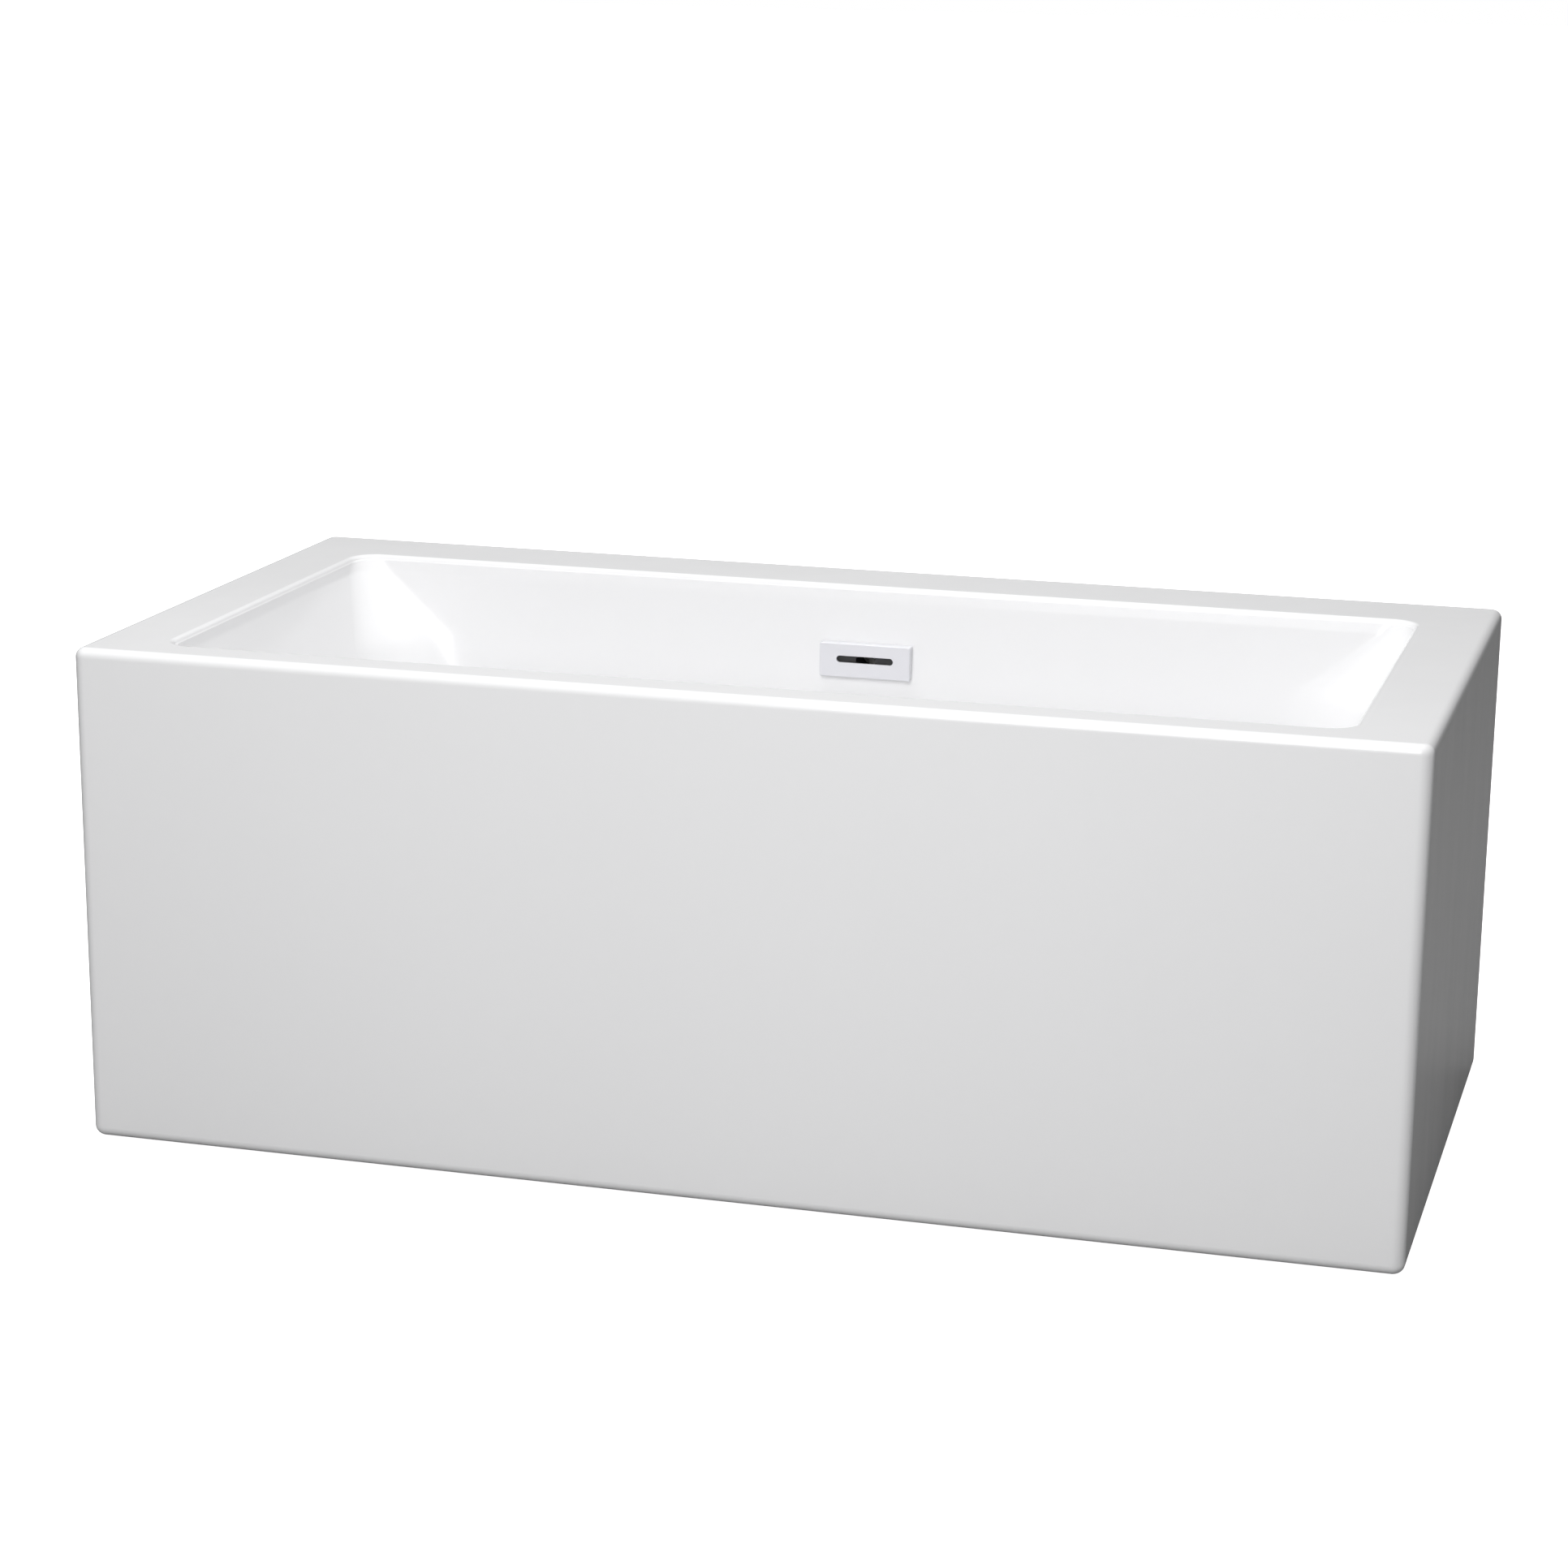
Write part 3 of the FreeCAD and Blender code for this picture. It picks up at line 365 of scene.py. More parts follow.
def turned_brass(name):
    finish = Finish(name, Metallic=1.0)
    lines = finish.noise(scale=1.0, detail=2, rough=0.5, spot=finish.place(scale=(300, 300, 3600)))
    tarnish = finish.noise(scale=80.0, detail=4)
    finish.feed(Base_Color=finish.mix(tarnish, (0.42, 0.28, 0.10), (0.68, 0.50, 0.22)),
                Roughness=tarnish * 0.25 + 0.2,
                Normal=finish.bump(lines, distance=0.00004, strength=0.6))
    return finish.material


made_finishes = {}


def finishes():
    """Every finish by its slot in the record, made once."""
    if not made_finishes:
        shades = bpy.context.scene.bath_finishes
        made_finishes.update({
            "acrylic": gloss_acrylic("gloss_acrylic", tuple(shades.acrylic)),
            "white_trim": gloss_acrylic("gloss_trim", tuple(shades.trim), 0.12),
            "laminate": sprayed_laminate("sprayed_laminate", tuple(shades.laminate)),
            "timber": sawn_timber("sawn_timber", tuple(shades.timber)),
            "timber_across": sawn_timber("sawn_timber_across", tuple(shades.timber), "y"),
            "plywood": plywood("plywood", tuple(shades.plywood)),
            "frame_steel": powder_coat("powder_coat", tuple(shades.frame_paint)),
            "zinc_steel": zinc_plate("zinc_plate"),
            "black_plastic": moulded_plastic("moulded_black", (0.03, 0.03, 0.032), 0.4, 700.0),
            "pipe_plastic": moulded_plastic("moulded_pipe", tuple(shades.pipe), 0.38, 300.0),
            "black_rubber": black_rubber("black_rubber"),
            "brass": turned_brass("turned_brass"),
        })
    return made_finishes


# ---------------------------------------------------------------------------------------------
# Shells made of level rings

Ring = namedtuple("Ring", "half_x half_y corner z middle_y")
GUARD = 0.4 * MM              # how close a row lies to an edge, to keep the flat beside it flat
NEAR_END = 0.004              # the same along a straight side, as a share of it
LEAST_CORNER = 20 * MM
WELD = 1e-6
SLIVER = 1e-7
SHARP = math.radians(32)
CORNER_STEPS = 14
LONG_STEPS = 30
SHORT_STEPS = 16
FILLET_STEPS = 18
ROLL_STEPS = 8
BAND_SHARES = (0.0, 0.1, 0.35, 0.65, 0.9, 1.0)
KNEE_SHARES = (0.25, 0.5, 0.75)
FLOOR_SHARES = (NEAR_END, 0.15, 0.35, 0.55, 0.75, 0.9, 0.97, 1.0)
WALL_SHARES = (1.0, 0.996, 0.98, 0.96, 0.94, 0.92, 0.9, 0.88, 0.86, 0.84, 0.82, 0.8, 0.77, 0.7, 0.6,
               0.45, 0.32)


def spread(steps):
    """Shares of a straight side, with two points close to its ends that keep its shading flat."""
    inner = [step / steps for step in range(1, steps)]
    return [0.0, NEAR_END, *inner, 1 - NEAR_END]


def ring_points(ring):
    """The points of a rectangle with round corners, anticlockwise from its back right corner."""
    points = []
    reach_x, reach_y = ring.half_x - ring.corner, ring.half_y - ring.corner
    turns = [(1, 1, LONG_STEPS), (-1, 1, SHORT_STEPS), (-1, -1, LONG_STEPS), (1, -1, SHORT_STEPS)]
    for quarter, (side_x, side_y, steps) in enumerate(turns):
        for step in range(CORNER_STEPS):
            angle = (quarter + step / CORNER_STEPS) * math.pi / 2
            points.append(Vector((side_x * reach_x + ring.corner * math.cos(angle),
                                  side_y * reach_y + ring.corner * math.sin(angle), 0)))
        angle = (quarter + 1) * math.pi / 2
        start = Vector((side_x * reach_x + ring.corner * math.cos(angle),
                        side_y * reach_y + ring.corner * math.sin(angle), 0))
        next_x, next_y = turns[(quarter + 1) % 4][:2]
        end = Vector((next_x * reach_x + ring.corner * math.cos(angle),
                      next_y * reach_y + ring.corner * math.sin(angle), 0))
        points += [start.lerp(end, share) for share in spread(steps)]
    return [point + Vector((0, ring.middle_y, ring.z)) for point in points]


def between(first, second, share):
    return Ring(*(a + (b - a) * share for a, b in zip(first, second)))


def flat(first, second):
    """Rings across a flat stretch, with one close to each end that keeps its shading flat."""
    width = max(abs(a - b) for a, b in zip(first, second))
    edge = min(0.25, GUARD / width)
    return [first, between(first, second, edge), between(first, second, 1 - edge), second]


def circle_like(points, radius, centre, z):
    """A circle whose points face those of a ring, so that the two join up."""
    out = []
    for point in points:
        away = Vector((point.x - centre.x, point.y - centre.y, 0)).normalized()
        out.append(Vector((centre.x, centre.y, z)) + away * radius)
    return out


def skin_over(name, loops, closed=True):
    """A mesh object through loops of points, one quad wide, with its faces turned outwards."""
    mesh = bmesh.new()
    rows = [[mesh.verts.new(point) for point in loop] for loop in loops]
    pairs = list(zip(rows, rows[1:]))
    if closed:
        pairs.append((rows[-1], rows[0]))
    for lower, upper in pairs:
        for here in range(len(lower)):
            there = (here + 1) % len(lower)
            mesh.faces.new((lower[here], lower[there], upper[there], upper[here]))
    return to_object(name, mesh)


def to_object(name, mesh):
    """Welds a mesh, shades it smooth between its sharp edges and puts it in the scene."""
    bmesh.ops.remove_doubles(mesh, verts=mesh.verts, dist=WELD)
    bmesh.ops.dissolve_degenerate(mesh, edges=mesh.edges, dist=SLIVER)
    bmesh.ops.recalc_face_normals(mesh, faces=mesh.faces)
    for face in mesh.faces:
        face.smooth = True
    for edge in mesh.edges:
        edge.smooth = not (len(edge.link_faces) == 2 and edge.calc_face_angle() > SHARP)
    data = bpy.data.meshes.new(name)
    mesh.to_mesh(data)
    mesh.free()
    made = bpy.data.objects.new(name, data)
    bpy.context.scene.collection.objects.link(made)
    return made


def settle(piece, body, slot, node):
    """Gives a finished piece its finish, its body and the frame node that it stands for."""
    piece.data.materials.clear()
    piece.data.materials.append(finishes()[slot])
    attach(piece, body)
    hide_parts(node)


def wall_line(half, run, taper, shape, rim):
    """How far a basin wall stands from the middle at a height, with its curve into the floor."""
    foot = rim - shape.band_depth
    floor = shape.floor_height
    slope = run / (foot - floor)
    lean = math.atan(slope)

    def reach(z, skin):
        radius = shape.floor_fillet + skin
        base = floor - skin
        straight = half - taper - slope * (foot - z) + skin
        tangent = base + radius * (1 - math.sin(lean))
        if z >= tangent:
            return straight
        middle = half - taper - slope * (foot - tangent) + skin - radius * math.cos(lean)
        return middle + math.sqrt(max(0.0, radius ** 2 - (radius - (z - base)) ** 2))

    return reach


def wall_corner(shape, drop, whole):
    """The corner radius in plan, this far down a wall: it opens out quickly, then keeps on slowly."""
    opened = min(1.0, drop / shape.shoulder_drop)
    lower = max(0.0, drop - shape.shoulder_drop) / (whole - shape.shoulder_drop)
    return (shape.band_corner + (shape.shoulder_corner - shape.band_corner) * opened
            + (shape.floor_corner - shape.shoulder_corner) * lower)


def bowl_rings(shape, rim, skin):
    """Rings down the basin's walls to the edge of its flat floor, grown outwards by a skin."""
    low, high = CAD_BOX
    mouth_x = (high[0] - low[0]) / 2 - shape.end_rim
    mouth_y = (high[1] - low[1] - shape.front_rim - shape.back_rim) / 2
    middle = (shape.front_rim - shape.back_rim) / 2
    foot, floor = rim - shape.band_depth, shape.floor_height
    across = wall_line(mouth_x, shape.backrest_run, shape.band_taper, shape, rim)
    along = wall_line(mouth_y, shape.side_run, shape.band_taper, shape, rim)

    def band(share):
        return Ring(mouth_x - shape.band_taper * share + skin, mouth_y - shape.band_taper * share + skin,
                    shape.mouth_corner + (shape.band_corner - shape.mouth_corner) * share + skin,
                    rim - shape.band_depth * share, middle)

    def wall(z):
        share = (foot - z) / (foot - floor)
        corner = wall_corner(shape, foot - z, foot - floor) + skin
        half_x, half_y = across(z, skin), along(z, skin)
        straight_x = mouth_x - shape.band_taper - shape.backrest_run * share + skin
        straight_y = mouth_y - shape.band_taper - shape.side_run * share + skin
        inset = (straight_x - half_x + straight_y - half_y) / 2
        return Ring(half_x, half_y, max(corner - inset, LEAST_CORNER), z, middle)

    crease = shape.crease / shape.band_depth
    top = shape.mouth_roll / shape.band_depth
    rings = [band(top + (1 - crease - top) * share) for share in BAND_SHARES]
    upper, lower = band(1 - crease), wall(foot - shape.crease)
    knee = band(1.0)
    for share in KNEE_SHARES:
        rings.append(between(between(upper, knee, share), between(knee, lower, share), share))
    reach = foot - shape.crease - (floor - skin)
    rings += [wall(floor - skin + reach * share) for share in WALL_SHARES]
    curve = shape.floor_fillet + skin
    for step in range(1, FILLET_STEPS + 1):
        turn = math.pi / 2 * step / FILLET_STEPS
        rings.append(wall(floor - skin + curve * (1 - math.sin(turn))))
    return rings


def roll(ring, radius, rising):
    """Rings round an edge that turns from level inwards and down, or from upright inwards and up."""
    rings = []
    for step in range(ROLL_STEPS + 1):
        turn = math.pi / 2 * step / ROLL_STEPS
        if rising:
            inset, drop = radius * (1 - math.cos(turn)), radius * (math.sin(turn) - 1)
        else:
            inset, drop = radius * math.sin(turn), radius * (math.cos(turn) - 1)
        rings.append(Ring(ring.half_x - inset, ring.half_y - inset, ring.corner - inset,
                          ring.z + drop, ring.middle_y))
    return rings


def basin_loops(shape):
    """Loops over the rim, down the inside to the waste hole, and back up the hidden side."""
    half_x, half_y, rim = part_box("basin_shell")[1]
    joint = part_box("skirt_shell")[1].z
    outside = Ring(half_x, half_y, shape.corner, rim, 0.0)
    wall_top = roll(outside, shape.rim_edge, True)
    loops = flat(outside._replace(z=joint), wall_top[0])[:-1] + wall_top
    inner = bowl_rings(shape, rim, 0.0)
    mouth_x = half_x - shape.end_rim + shape.mouth_roll
    mouth_y = half_y - (shape.front_rim + shape.back_rim) / 2 + shape.mouth_roll
    mouth = Ring(mouth_x, mouth_y, shape.mouth_corner + shape.mouth_roll, rim,
                 (shape.front_rim - shape.back_rim) / 2)
    mouth_rings = roll(mouth, shape.mouth_roll, False)[:-1]
    loops += flat(wall_top[-1], mouth_rings[0])[1:-1] + mouth_rings + inner
    points = [ring_points(ring) for ring in loops]
    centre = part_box("stopper_cap")[0].lerp(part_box("stopper_cap")[1], 0.5)
    floor = shape.floor_height
    rim_of_hole = circle_like(points[-1], shape.waste_hole, centre, floor)
    points += across_floor(points[-1], rim_of_hole)
    under = bowl_rings(shape, rim, shape.skin)
    under_points = [ring_points(ring) for ring in under]
    foot_of_hole = circle_like(under_points[-1], shape.waste_hole, centre, floor - shape.skin)
    points += list(reversed(across_floor(under_points[-1], foot_of_hole)))
    points += list(reversed(under_points))
    deck = under[0]._replace(z=rim - shape.skin)
    lip = Ring(half_x - shape.skin, half_y - shape.skin, shape.corner - shape.skin, rim - shape.skin, 0.0)
    points += [ring_points(ring) for ring in flat(deck, lip)]
    points.append(ring_points(lip._replace(z=joint)))
    return points


def across_floor(edge, hole):
    """Loops from the edge of the flat floor to a round hole in it."""
    return [[a.lerp(b, share) for a, b in zip(edge, hole)] for share in FLOOR_SHARES]


DRILL_SEGMENTS = 48
DRILL_LENGTH = 60 * MM


def drill(piece, radius, centre, axis):
    """Cuts a round hole right through a piece."""
    mesh = bmesh.new()
    turn = Vector((0, 0, 1)).rotation_difference(Vector(axis)).to_matrix().to_4x4()
    bmesh.ops.create_cone(mesh, cap_ends=True, segments=DRILL_SEGMENTS, radius1=radius, radius2=radius,
                          depth=DRILL_LENGTH, matrix=Matrix.Translation(centre) @ turn)
    data = bpy.data.meshes.new("drill")
    mesh.to_mesh(data)
    mesh.free()
    tool = bpy.data.objects.new("drill", data)
    bpy.context.scene.collection.objects.link(tool)
    cut = piece.modifiers.new("Hole", "BOOLEAN")
    cut.operation = "DIFFERENCE"
    cut.solver = "EXACT"
    cut.object = tool
    baked(piece)
    bpy.data.objects.remove(tool)


def baked(piece):
    """Applies a piece's modifiers and leaves a plain mesh."""
    graph = bpy.context.evaluated_depsgraph_get()
    data = bpy.data.meshes.new_from_object(piece.evaluated_get(graph))
    piece.modifiers.clear()
    old = piece.data
    piece.data = data
    bpy.data.meshes.remove(old)
    data.name = piece.name


def skirt_loops(shape):
    """Loops down the outside, under the turned-in hem, and back up the hidden side."""
    low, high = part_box("skirt_shell")
    outside = Ring(high.x, high.y, shape.corner, high.z, 0.0)
    hem = [ring._replace(z=low.z + (high.z - ring.z)) for ring in roll(outside, shape.hem, True)]
    loops = flat(outside, hem[0])[:-1] + hem
    inset = Ring(high.x - shape.hem_width, high.y - shape.hem_width, shape.corner, low.z, 0.0)
    inside = Ring(high.x - shape.skin, high.y - shape.skin, shape.corner - shape.skin,
                  low.z + shape.skin, 0.0)
    loops += flat(hem[-1], inset)[1:]
    loops += flat(inset._replace(z=low.z + shape.skin), inside)
    loops.append(inside._replace(z=high.z))
    return [ring_points(ring) for ring in loops]


class BATH_OT_basin(bpy.types.Operator):
    """Make the acrylic basin with its rim and turned-down lip"""
    bl_idname = "bath.basin"
    bl_label = "Basin"

    def execute(self, context):
        shape = context.scene.bath_shape
        piece = skin_over("basin", basin_loops(shape))
        low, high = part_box("overflow_gasket")
        drill(piece, shape.overflow_hole, (low + high) / 2, (0, 1, 0))
        settle(piece, "bath", "acrylic", "basin_shell")
        return {"FINISHED"}


class BATH_OT_skirt(bpy.types.Operator):
    """Make the acrylic skirt with its turned-in hem"""
    bl_idname = "bath.skirt"
    bl_label = "Skirt"

    def execute(self, context):
        piece = skin_over("skirt", skirt_loops(context.scene.bath_shape))
        settle(piece, "bath", "acrylic", "skirt_shell")
        return {"FINISHED"}


class BATH_OT_hidden(bpy.types.Operator):
    """Give the frame's own parts their finishes"""
    bl_idname = "bath.hidden"
    bl_label = "Finishes of the frame's parts"

    def execute(self, context):
        slots = {part["node"]: part["material_slot"] for part in frame["record"]["subparts"]}
        for name, node in frame["nodes"].items():
            slot = slots[name]
            if name in ("batten_left", "batten_right"):
                slot = "timber_across"
            node.data.materials.clear()
            node.data.materials.append(finishes()[slot])
        return {"FINISHED"}


# ---------------------------------------------------------------------------------------------
# The cover, the stopper and the feet

TURNED_STEPS = 72
FACE_CORNER_STEPS = 6
FACE_SIDE_STEPS = 4
FACE_QUARTERS = ((1, 1), (-1, 1), (-1, -1), (1, -1))
COVER_EDGE_STEPS = 5
SLOT_EDGE_STEPS = 3
SLOT_EDGE = 0.5 * MM
SLOT_END = 0.01 * MM          # what is left straight at the slot's ends
COVER_INSIDE = 0.4 * MM       # bevel in the cover's inside corners
COVER_LEAST = 0.3 * MM        # smallest corner radius of the cover


def turned(name, profile, around):
    """A solid of revolution from (radius, height) points, the first and last on the axis or joined."""
    angles = [2 * math.pi * step / TURNED_STEPS for step in range(TURNED_STEPS)]
    loops = [[Vector(around) + Vector((radius * math.cos(angle), radius * math.sin(angle), z))
              for angle in angles] for radius, z in profile]
    return skin_over(name, loops)


def arc(middle, radius, start, end, steps):
    """Points round part of a circle, as (radius, height) pairs."""
    points = []
    for step in range(steps + 1):
        angle = math.radians(start + (end - start) * step / steps)
        points.append((middle[0] + radius * math.cos(angle), middle[1] + radius * math.sin(angle)))
    return points


class CoverShape(bpy.types.PropertyGroup):
    """Sizes of the overflow cover, the stopper and the feet"""
    wall: length("Wall", "Thickness of the overflow cover", 3 * MM)
    edge: length("Edge", "Rounded edges of the cover", 1.0 * MM)
    corner: length("Corner", "Corners of the cover's face", 1.6 * MM)
    slot_long: length("Slot length", "Length of the overflow slot", 72 * MM)
    slot_high: length("Slot height", "Height of the overflow slot", 8.5 * MM)
    slot_raise: length("Slot raise", "Slot above the middle of the cover", 1.5 * MM)
    lean: FloatProperty(name="Lean", description="How far the wall leans, as a share of its height",
                        default=32 / 426)
    dome: length("Dome", "Rise of the stopper's top", 0.9 * MM)
    thread: length("Thread", "Depth of the thread on the studs", 0.6 * MM)
    pitch: length("Pitch", "Rise of the thread in one turn", 1.75 * MM)
    collar: length("Collar", "Width of the spanner collar across its flats", 19 * MM)


def facing(half_x, half_z, corner, y, centre):
    """A round-cornered rectangle that faces the front, as a loop of points."""

    def on_corner(quarter, angle):
        side_x, side_z = FACE_QUARTERS[quarter % 4]
        return Vector((centre.x + side_x * (half_x - corner) + corner * math.cos(angle), y,
                       centre.z + side_z * (half_z - corner) + corner * math.sin(angle)))

    points = []
    for quarter in range(4):
        points += [on_corner(quarter, (quarter + step / FACE_CORNER_STEPS) * math.pi / 2)
                   for step in range(FACE_CORNER_STEPS + 1)]
        start, end = points[-1], on_corner(quarter + 1, (quarter + 1) * math.pi / 2)
        points += [start.lerp(end, step / FACE_SIDE_STEPS) for step in range(1, FACE_SIDE_STEPS)]
    return points


def leaned(points, wall_y, height, lean):
    """The same loop, laid on the leaning wall."""
    return [Vector((point.x, wall_y + (point.z - height) * lean, point.z)) for point in points]


class BATH_OT_cover(bpy.types.Operator):
    """Make the slotted overflow cover"""
    bl_idname = "bath.cover"
    bl_label = "Overflow cover"

    def execute(self, context):
        shape = context.scene.cover_shape
        low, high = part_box("overflow_cover")
        centre = (low + high) / 2
        half_x, half_z = (high.x - low.x) / 2, (high.z - low.z) / 2
        wall_y = high.y - half_z * shape.lean
        front, behind = low.y, low.y + shape.wall

        def outline(inset, y, corner=None):
            corner = corner or max(shape.corner - inset, COVER_LEAST)
            return facing(half_x - inset, half_z - inset, corner, y, centre)

        def slot(grown, y):
            middle = centre + Vector((0, 0, shape.slot_raise))
            return facing(shape.slot_long / 2 + grown, shape.slot_high / 2 + grown,
                          shape.slot_high / 2 + grown - SLOT_END, y, middle)

        back = leaned(outline(0, 0), wall_y, centre.z, shape.lean)
        loops = [back, outline(0, front + shape.edge + GUARD), outline(0, front + shape.edge)]
        for step in range(1, COVER_EDGE_STEPS + 1):
            turn = math.pi / 2 * step / COVER_EDGE_STEPS
            loops.append(outline(shape.edge * (1 - math.cos(turn)),
                                 front + shape.edge * (1 - math.sin(turn))))
        loops.append(outline(shape.edge + GUARD, front))
        loops.append(slot(SLOT_EDGE + GUARD, front))
        for step in range(SLOT_EDGE_STEPS + 1):
            turn = math.pi / 2 * step / SLOT_EDGE_STEPS
            loops.append(slot(SLOT_EDGE * (1 - math.sin(turn)), front + SLOT_EDGE * (1 - math.cos(turn))))
        loops.append(slot(0, behind))
        loops.append(outline(shape.wall + COVER_INSIDE, behind, shape.corner))
        loops.append(outline(shape.wall, behind + COVER_INSIDE, shape.corner))
        loops.append(leaned(outline(shape.wall, 0, shape.corner), wall_y, centre.z, shape.lean))
        piece = skin_over("overflow_plate", loops)
        settle(piece, "bath", "white_trim", "overflow_cover")
        return {"FINISHED"}


STOPPER_EDGE = 1.5 * MM
DOME_STEPS = 10


class BATH_OT_stopper(bpy.types.Operator):
    """Make the domed stopper cap"""
    bl_idname = "bath.stopper"
    bl_label = "Stopper cap"

    def execute(self, context):
        shape = context.scene.cover_shape
        low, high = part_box("stopper_cap")
        centre = (low + high) / 2
        radius, tall = (high.x - low.x) / 2, high.z - low.z
        edge, lower_edge = STOPPER_EDGE, STOPPER_EDGE / 2
        profile = [(0.0, 0.0), (radius - edge, 0.0)]
        profile += arc((radius - lower_edge, lower_edge), lower_edge, -90, 0, 4)
        profile += [(radius, tall - shape.dome - edge)]
        profile += arc((radius - edge, tall - shape.dome - edge), edge, 10, 84, 6)
        start = profile[-1]
        for step in range(1, DOME_STEPS + 1):
            share = step / DOME_STEPS
            rise = (tall - start[1]) * (1 - (1 - share) ** 2)
            profile.append((start[0] * (1 - share), start[1] + rise))
        piece = turned("stopper_dome", profile, (centre.x, centre.y, low.z))
        settle(piece, "stopper", "white_trim", "stopper_cap")
        return {"FINISHED"}


STUD_STEPS = 36
STUD_RADIUS = 6 * MM
STUD_TIP = 1.0 * MM           # bevel at the stud's top
STUD_FOOT = 0.8 * MM          # bevel at its foot
RELIEF = 0.5 * MM             # how much thinner the stud is beside its collar
RELIEF_ABOVE = 1.2 * MM
RELIEF_BELOW = (1.5 * MM, 1.2 * MM)
THREAD_START = 1.8 * MM       # above the collar
COLLAR_RAISE = 2 * MM         # from the shoe up to the collar
COLLAR_TALL = 8 * MM
COLLAR_BEVEL = 0.8 * MM
COLLAR_CHAMFER = 0.94
ROWS_PER_TURN = 4
FADE = 2.5                    # how fast the thread runs out at its ends, in depths per turn


def hexagon_loop(across, z, steps, chamfer=1.0):
    """A loop round a hexagon, cut down to a circle by a chamfer of less than one."""
    points = []
    for step in range(steps):
        angle = 2 * math.pi * step / steps
        local = (angle + math.pi / 6) % (math.pi / 3) - math.pi / 6
        reach = min(across / 2 / math.cos(local), across / 2 / math.cos(math.pi / 6) * chamfer)
        points.append((reach, angle, z))
    return points


def threaded_stud(name, low, high, collar_foot, shape):
    """A stud with a rolled thread above a hexagon collar, and a plain foot below it."""
    centre = (low + high) / 2
    collar_top = collar_foot + COLLAR_TALL

    def at(reach, angle, z):
        return Vector((centre.x + reach * math.cos(angle), centre.y + reach * math.sin(angle), z))

    def smooth(z, reach):
        return [at(reach, 2 * math.pi * step / STUD_STEPS, z) for step in range(STUD_STEPS)]

    def collar(z, chamfer=1.0):
        return [at(*point) for point in hexagon_loop(shape.collar, z, STUD_STEPS, chamfer)]

    def wavy(z, fade):
        loop = []
        for step in range(STUD_STEPS):
            angle = 2 * math.pi * step / STUD_STEPS
            wave = abs(((z / shape.pitch - angle / (2 * math.pi)) % 1.0) * 2 - 1)
            loop.append(at(STUD_RADIUS - shape.thread * wave * fade, angle, z))
        return loop

    def threaded(foot, top):
        count = max(2, round((top - foot) / (shape.pitch / ROWS_PER_TURN)))
        return [wavy(foot + (top - foot) * step / count,
                     min(1.0, FADE * min(step, count - step) / ROWS_PER_TURN))
                for step in range(count + 1)]

    neck = STUD_RADIUS - RELIEF
    loops = [smooth(low.z, 0.0), smooth(low.z, STUD_RADIUS - STUD_FOOT),
             smooth(low.z + STUD_FOOT, STUD_RADIUS), smooth(collar_foot - RELIEF_BELOW[0], STUD_RADIUS),
             smooth(collar_foot - RELIEF_BELOW[1], neck), smooth(collar_foot, neck),
             collar(collar_foot, COLLAR_CHAMFER), collar(collar_foot + COLLAR_BEVEL),
             collar(collar_top - COLLAR_BEVEL), collar(collar_top, COLLAR_CHAMFER),
             smooth(collar_top, neck), smooth(collar_top + RELIEF_ABOVE, neck)]
    loops += threaded(collar_top + THREAD_START, high.z - STUD_TIP)
    loops += [smooth(high.z, STUD_RADIUS - STUD_TIP), smooth(high.z, 0.0)]
    return skin_over(name, loops, closed=False)


SHOE_SOCKET = 6.1 * MM
SOCKET_FLOOR = 7 * MM
SOCKET_LIP = 0.6 * MM
SHOE_SHOULDER = 4.8 * MM
SHOULDER_EDGE = 1.2 * MM
SOLE_EDGE = 1 * MM
SHOE_NECK = ((13.5 * MM, 1.2 * MM), (12.0 * MM, 0.0))     # radius, and how far below the top
# The groove in the sole: in from its edge, and up.
GROOVE = ((6 * MM, 0.0), (5 * MM, 0.6 * MM), (4 * MM, 0.6 * MM), (3 * MM, 0.0))


def shoe(name, axis, low, high):
    """A round shoe with a grooved sole, a sloping top and a socket for the stud."""
    radius, tall = (high.x - low.x) / 2, high.z - low.z
    profile = [(0.0, 0.0), *((radius - inset, rise) for inset, rise in GROOVE), (radius - SOLE_EDGE, 0.0)]
    profile += arc((radius - SOLE_EDGE, SOLE_EDGE), SOLE_EDGE, -70, 0, 3)
    profile += arc((radius - SHOULDER_EDGE, SHOE_SHOULDER), SHOULDER_EDGE, 0, 60, 3)
    profile += [(reach, tall - drop) for reach, drop in SHOE_NECK]
    profile += [(SHOE_SOCKET + SOCKET_LIP, tall), (SHOE_SOCKET, tall - SOCKET_LIP),
                (SHOE_SOCKET, SOCKET_FLOOR), (0.0, SOCKET_FLOOR)]
    return turned(name, profile, (axis.x, axis.y, low.z))


class BATH_OT_feet(bpy.types.Operator):
    """Make the threaded studs and their grooved shoes"""
    bl_idname = "bath.feet"
    bl_label = "Feet"

    def execute(self, context):
        shape = context.scene.cover_shape
        for foot in ("front_left", "front_right", "back_left", "back_right", "middle"):
            low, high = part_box(f"foot_{foot}_stud")
            pad_low, pad_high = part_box(f"foot_{foot}_pad")
            stud = threaded_stud(f"stud_{foot}", low, high, pad_high.z + COLLAR_RAISE, shape)
            settle(stud, f"foot_{foot}_screw", "zinc_steel", f"foot_{foot}_stud")
            pad = shoe(f"shoe_{foot}", (low + high) / 2, pad_low, pad_high)
            settle(pad, f"foot_{foot}_shoe", "black_plastic", f"foot_{foot}_pad")
        return {"FINISHED"}


# ---------------------------------------------------------------------------------------------
# The stage


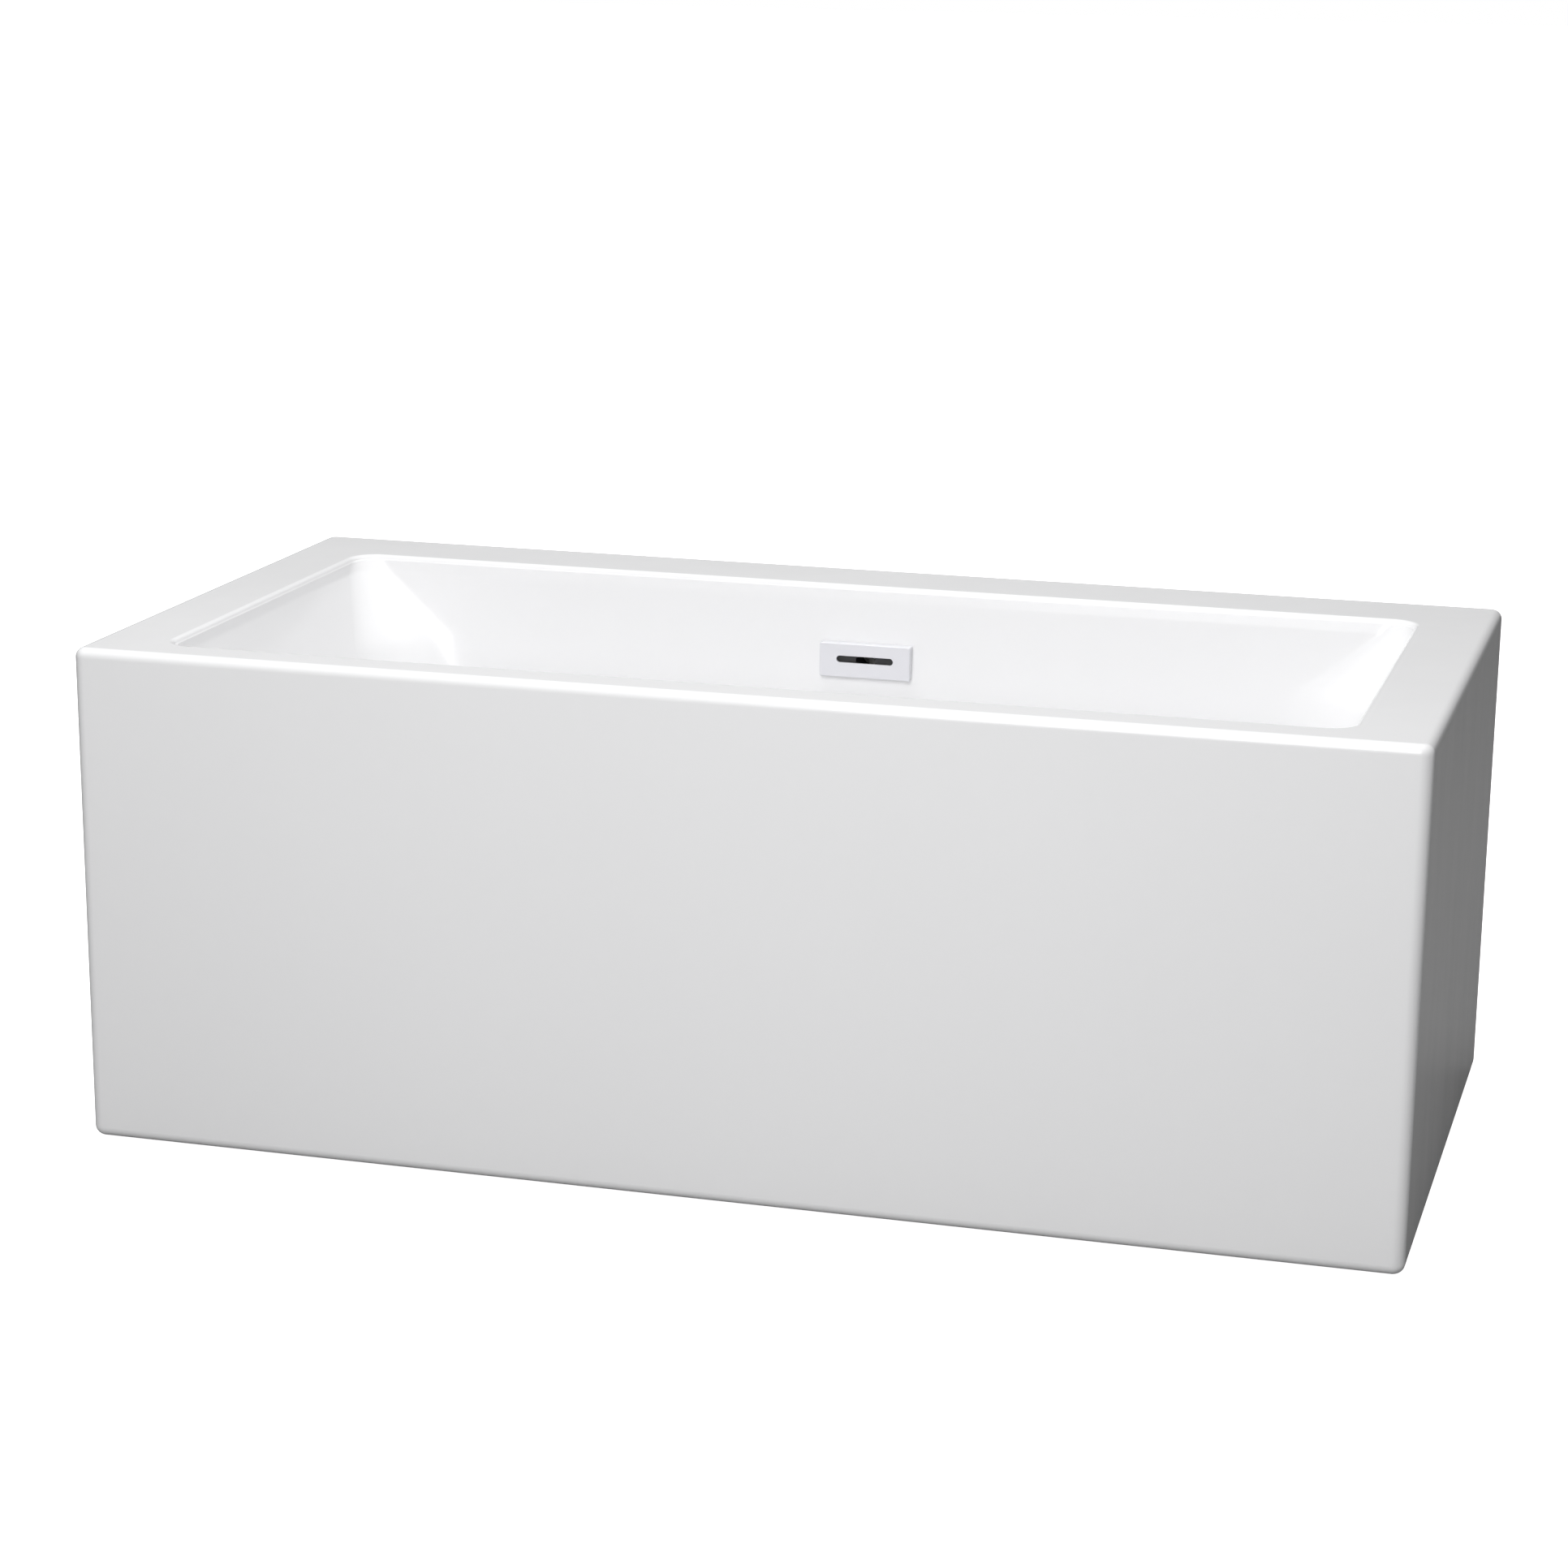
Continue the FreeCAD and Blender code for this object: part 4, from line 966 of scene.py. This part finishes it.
# Each light's place, what it faces, and its width and height.
LIGHTS = {
    "key": ((0.1, -2.9, 2.0), (0.1, -0.38, 0.35), (1.4, 2.0)),
    "top": ((-0.3, 0.3, 4.0), (-0.2, 0.1, 0.5), (2.3, 2.0)),
    "fill": ((3.0, 0.2, 0.3), (0.76, 0, 0.15), (1.0, 0.6)),
}
FLOOR_HALF = 30.0
SENSOR_WIDTH = 36
WHITE = (1, 1, 1, 1)


def look_along(azimuth, elevation, roll_angle):
    """The camera's axes: to its right, up, and back from what it looks at."""
    a, e, r = (math.radians(angle) for angle in (azimuth, elevation, roll_angle))
    back = Vector((math.sin(a) * math.cos(e), -math.cos(a) * math.cos(e), math.sin(e)))
    right = Vector((0, 0, 1)).cross(back).normalized()
    up = back.cross(right)
    tilted_right = right * math.cos(r) + up * math.sin(r)
    tilted_up = up * math.cos(r) - right * math.sin(r)
    return Matrix((tilted_right, tilted_up, back)).transposed()


def area_light(name, place, aim, size, power):
    light = bpy.data.lights.new(name, "AREA")
    light.shape = "RECTANGLE"
    light.size, light.size_y = size
    light.energy = power
    lamp = bpy.data.objects.new(name, light)
    lamp.location = place
    lamp.rotation_euler = (Vector(aim) - Vector(place)).to_track_quat("-Z", "Y").to_euler()
    bpy.context.scene.collection.objects.link(lamp)


def pale_floor(look):
    """A floor that looks pale, and that sends little light back up at the bath's sides."""
    mesh = bmesh.new()
    bmesh.ops.create_grid(mesh, x_segments=2, y_segments=2, size=FLOOR_HALF)
    floor = to_object("floor", mesh)
    paint = Finish("floor_paint", Roughness=0.8, Specular_IOR_Level=0.2)
    cloud = paint.noise(1.2, 3)
    seen = paint.node("ShaderNodeLightPath")
    shade = tuple(look.floor)
    near = paint.mix(cloud, tint(shade, 0.99), tint(shade, 1.01))
    paint.feed(Base_Color=paint.mix(seen, tint(shade, look.floor_return), near),
               Emission_Color=paint.mix(seen, (0, 0, 0), (1, 1, 1)))
    paint.shader.inputs["Emission Strength"].default_value = look.floor_glow
    floor.data.materials.append(paint.material)


def white_air(look):
    """Even light from all round, with a white backdrop behind it."""
    world = bpy.data.worlds.new("air")
    world.use_nodes = True
    tree = world.node_tree
    air = tree.nodes["Background"]
    air.inputs["Strength"].default_value = look.air
    air.inputs["Color"].default_value = WHITE
    white = tree.nodes.new("ShaderNodeBackground")
    white.inputs["Color"].default_value = WHITE
    seen = tree.nodes.new("ShaderNodeLightPath")
    mixed = tree.nodes.new("ShaderNodeMixShader")
    tree.links.new(seen.outputs["Is Camera Ray"], mixed.inputs[0])
    tree.links.new(air.outputs[0], mixed.inputs[1])
    tree.links.new(white.outputs[0], mixed.inputs[2])
    tree.links.new(mixed.outputs[0], tree.nodes["World Output"].inputs["Surface"])
    bpy.context.scene.world = world


def camera(look):
    lens = bpy.data.cameras.new("camera")
    lens.lens = look.lens
    lens.sensor_width = SENSOR_WIDTH
    lens.shift_x, lens.shift_y = look.shift
    held = bpy.data.objects.new("camera", lens)
    held.matrix_world = Matrix.Translation(look.stand) @ look_along(*look.aim).to_4x4()
    bpy.context.scene.collection.objects.link(held)
    bpy.context.scene.camera = held


class BATH_OT_stage(bpy.types.Operator):
    """Set up the floor, the light and the camera"""
    bl_idname = "bath.stage"
    bl_label = "Stage"

    def execute(self, context):
        look = context.scene.stage_look
        pale_floor(look)
        for name, (place, aim, size) in LIGHTS.items():
            area_light(name, place, aim, size, getattr(look, name))
        white_air(look)
        context.scene.view_settings.view_transform = "Standard"
        camera(look)
        return {"FINISHED"}


class BATH_PT_panel(bpy.types.Panel):
    """Lists the steps that make the bath"""
    bl_label = "Freestanding bath"
    bl_idname = "BATH_PT_panel"
    bl_space_type = "VIEW_3D"
    bl_region_type = "UI"
    bl_category = "Bath"

    def draw(self, context):
        for step in STEPS:
            self.layout.operator(step.bl_idname)
        scene = context.scene
        for group in (scene.bath_shape, scene.cover_shape, scene.bath_finishes, scene.stage_look):
            box = self.layout.box()
            for name in group.__annotations__:
                box.prop(group, name)


STEPS = (BATH_OT_stage, BATH_OT_hidden, BATH_OT_basin, BATH_OT_skirt, BATH_OT_cover, BATH_OT_stopper,
         BATH_OT_feet)
CLASSES = (BathShape, CoverShape, BathFinishes, StageLook, *STEPS, BATH_PT_panel)


def register():
    for kind in CLASSES:
        bpy.utils.register_class(kind)
    bpy.types.Scene.bath_shape = PointerProperty(type=BathShape)
    bpy.types.Scene.cover_shape = PointerProperty(type=CoverShape)
    bpy.types.Scene.bath_finishes = PointerProperty(type=BathFinishes)
    bpy.types.Scene.stage_look = PointerProperty(type=StageLook)


def unregister():
    del bpy.types.Scene.stage_look
    del bpy.types.Scene.bath_finishes
    del bpy.types.Scene.cover_shape
    del bpy.types.Scene.bath_shape
    for kind in reversed(CLASSES):
        bpy.utils.unregister_class(kind)


def main():
    register()
    for step in STEPS:
        group, name = step.bl_idname.split(".")
        getattr(getattr(bpy.ops, group), name)()


if __name__ == "__main__":
    main()
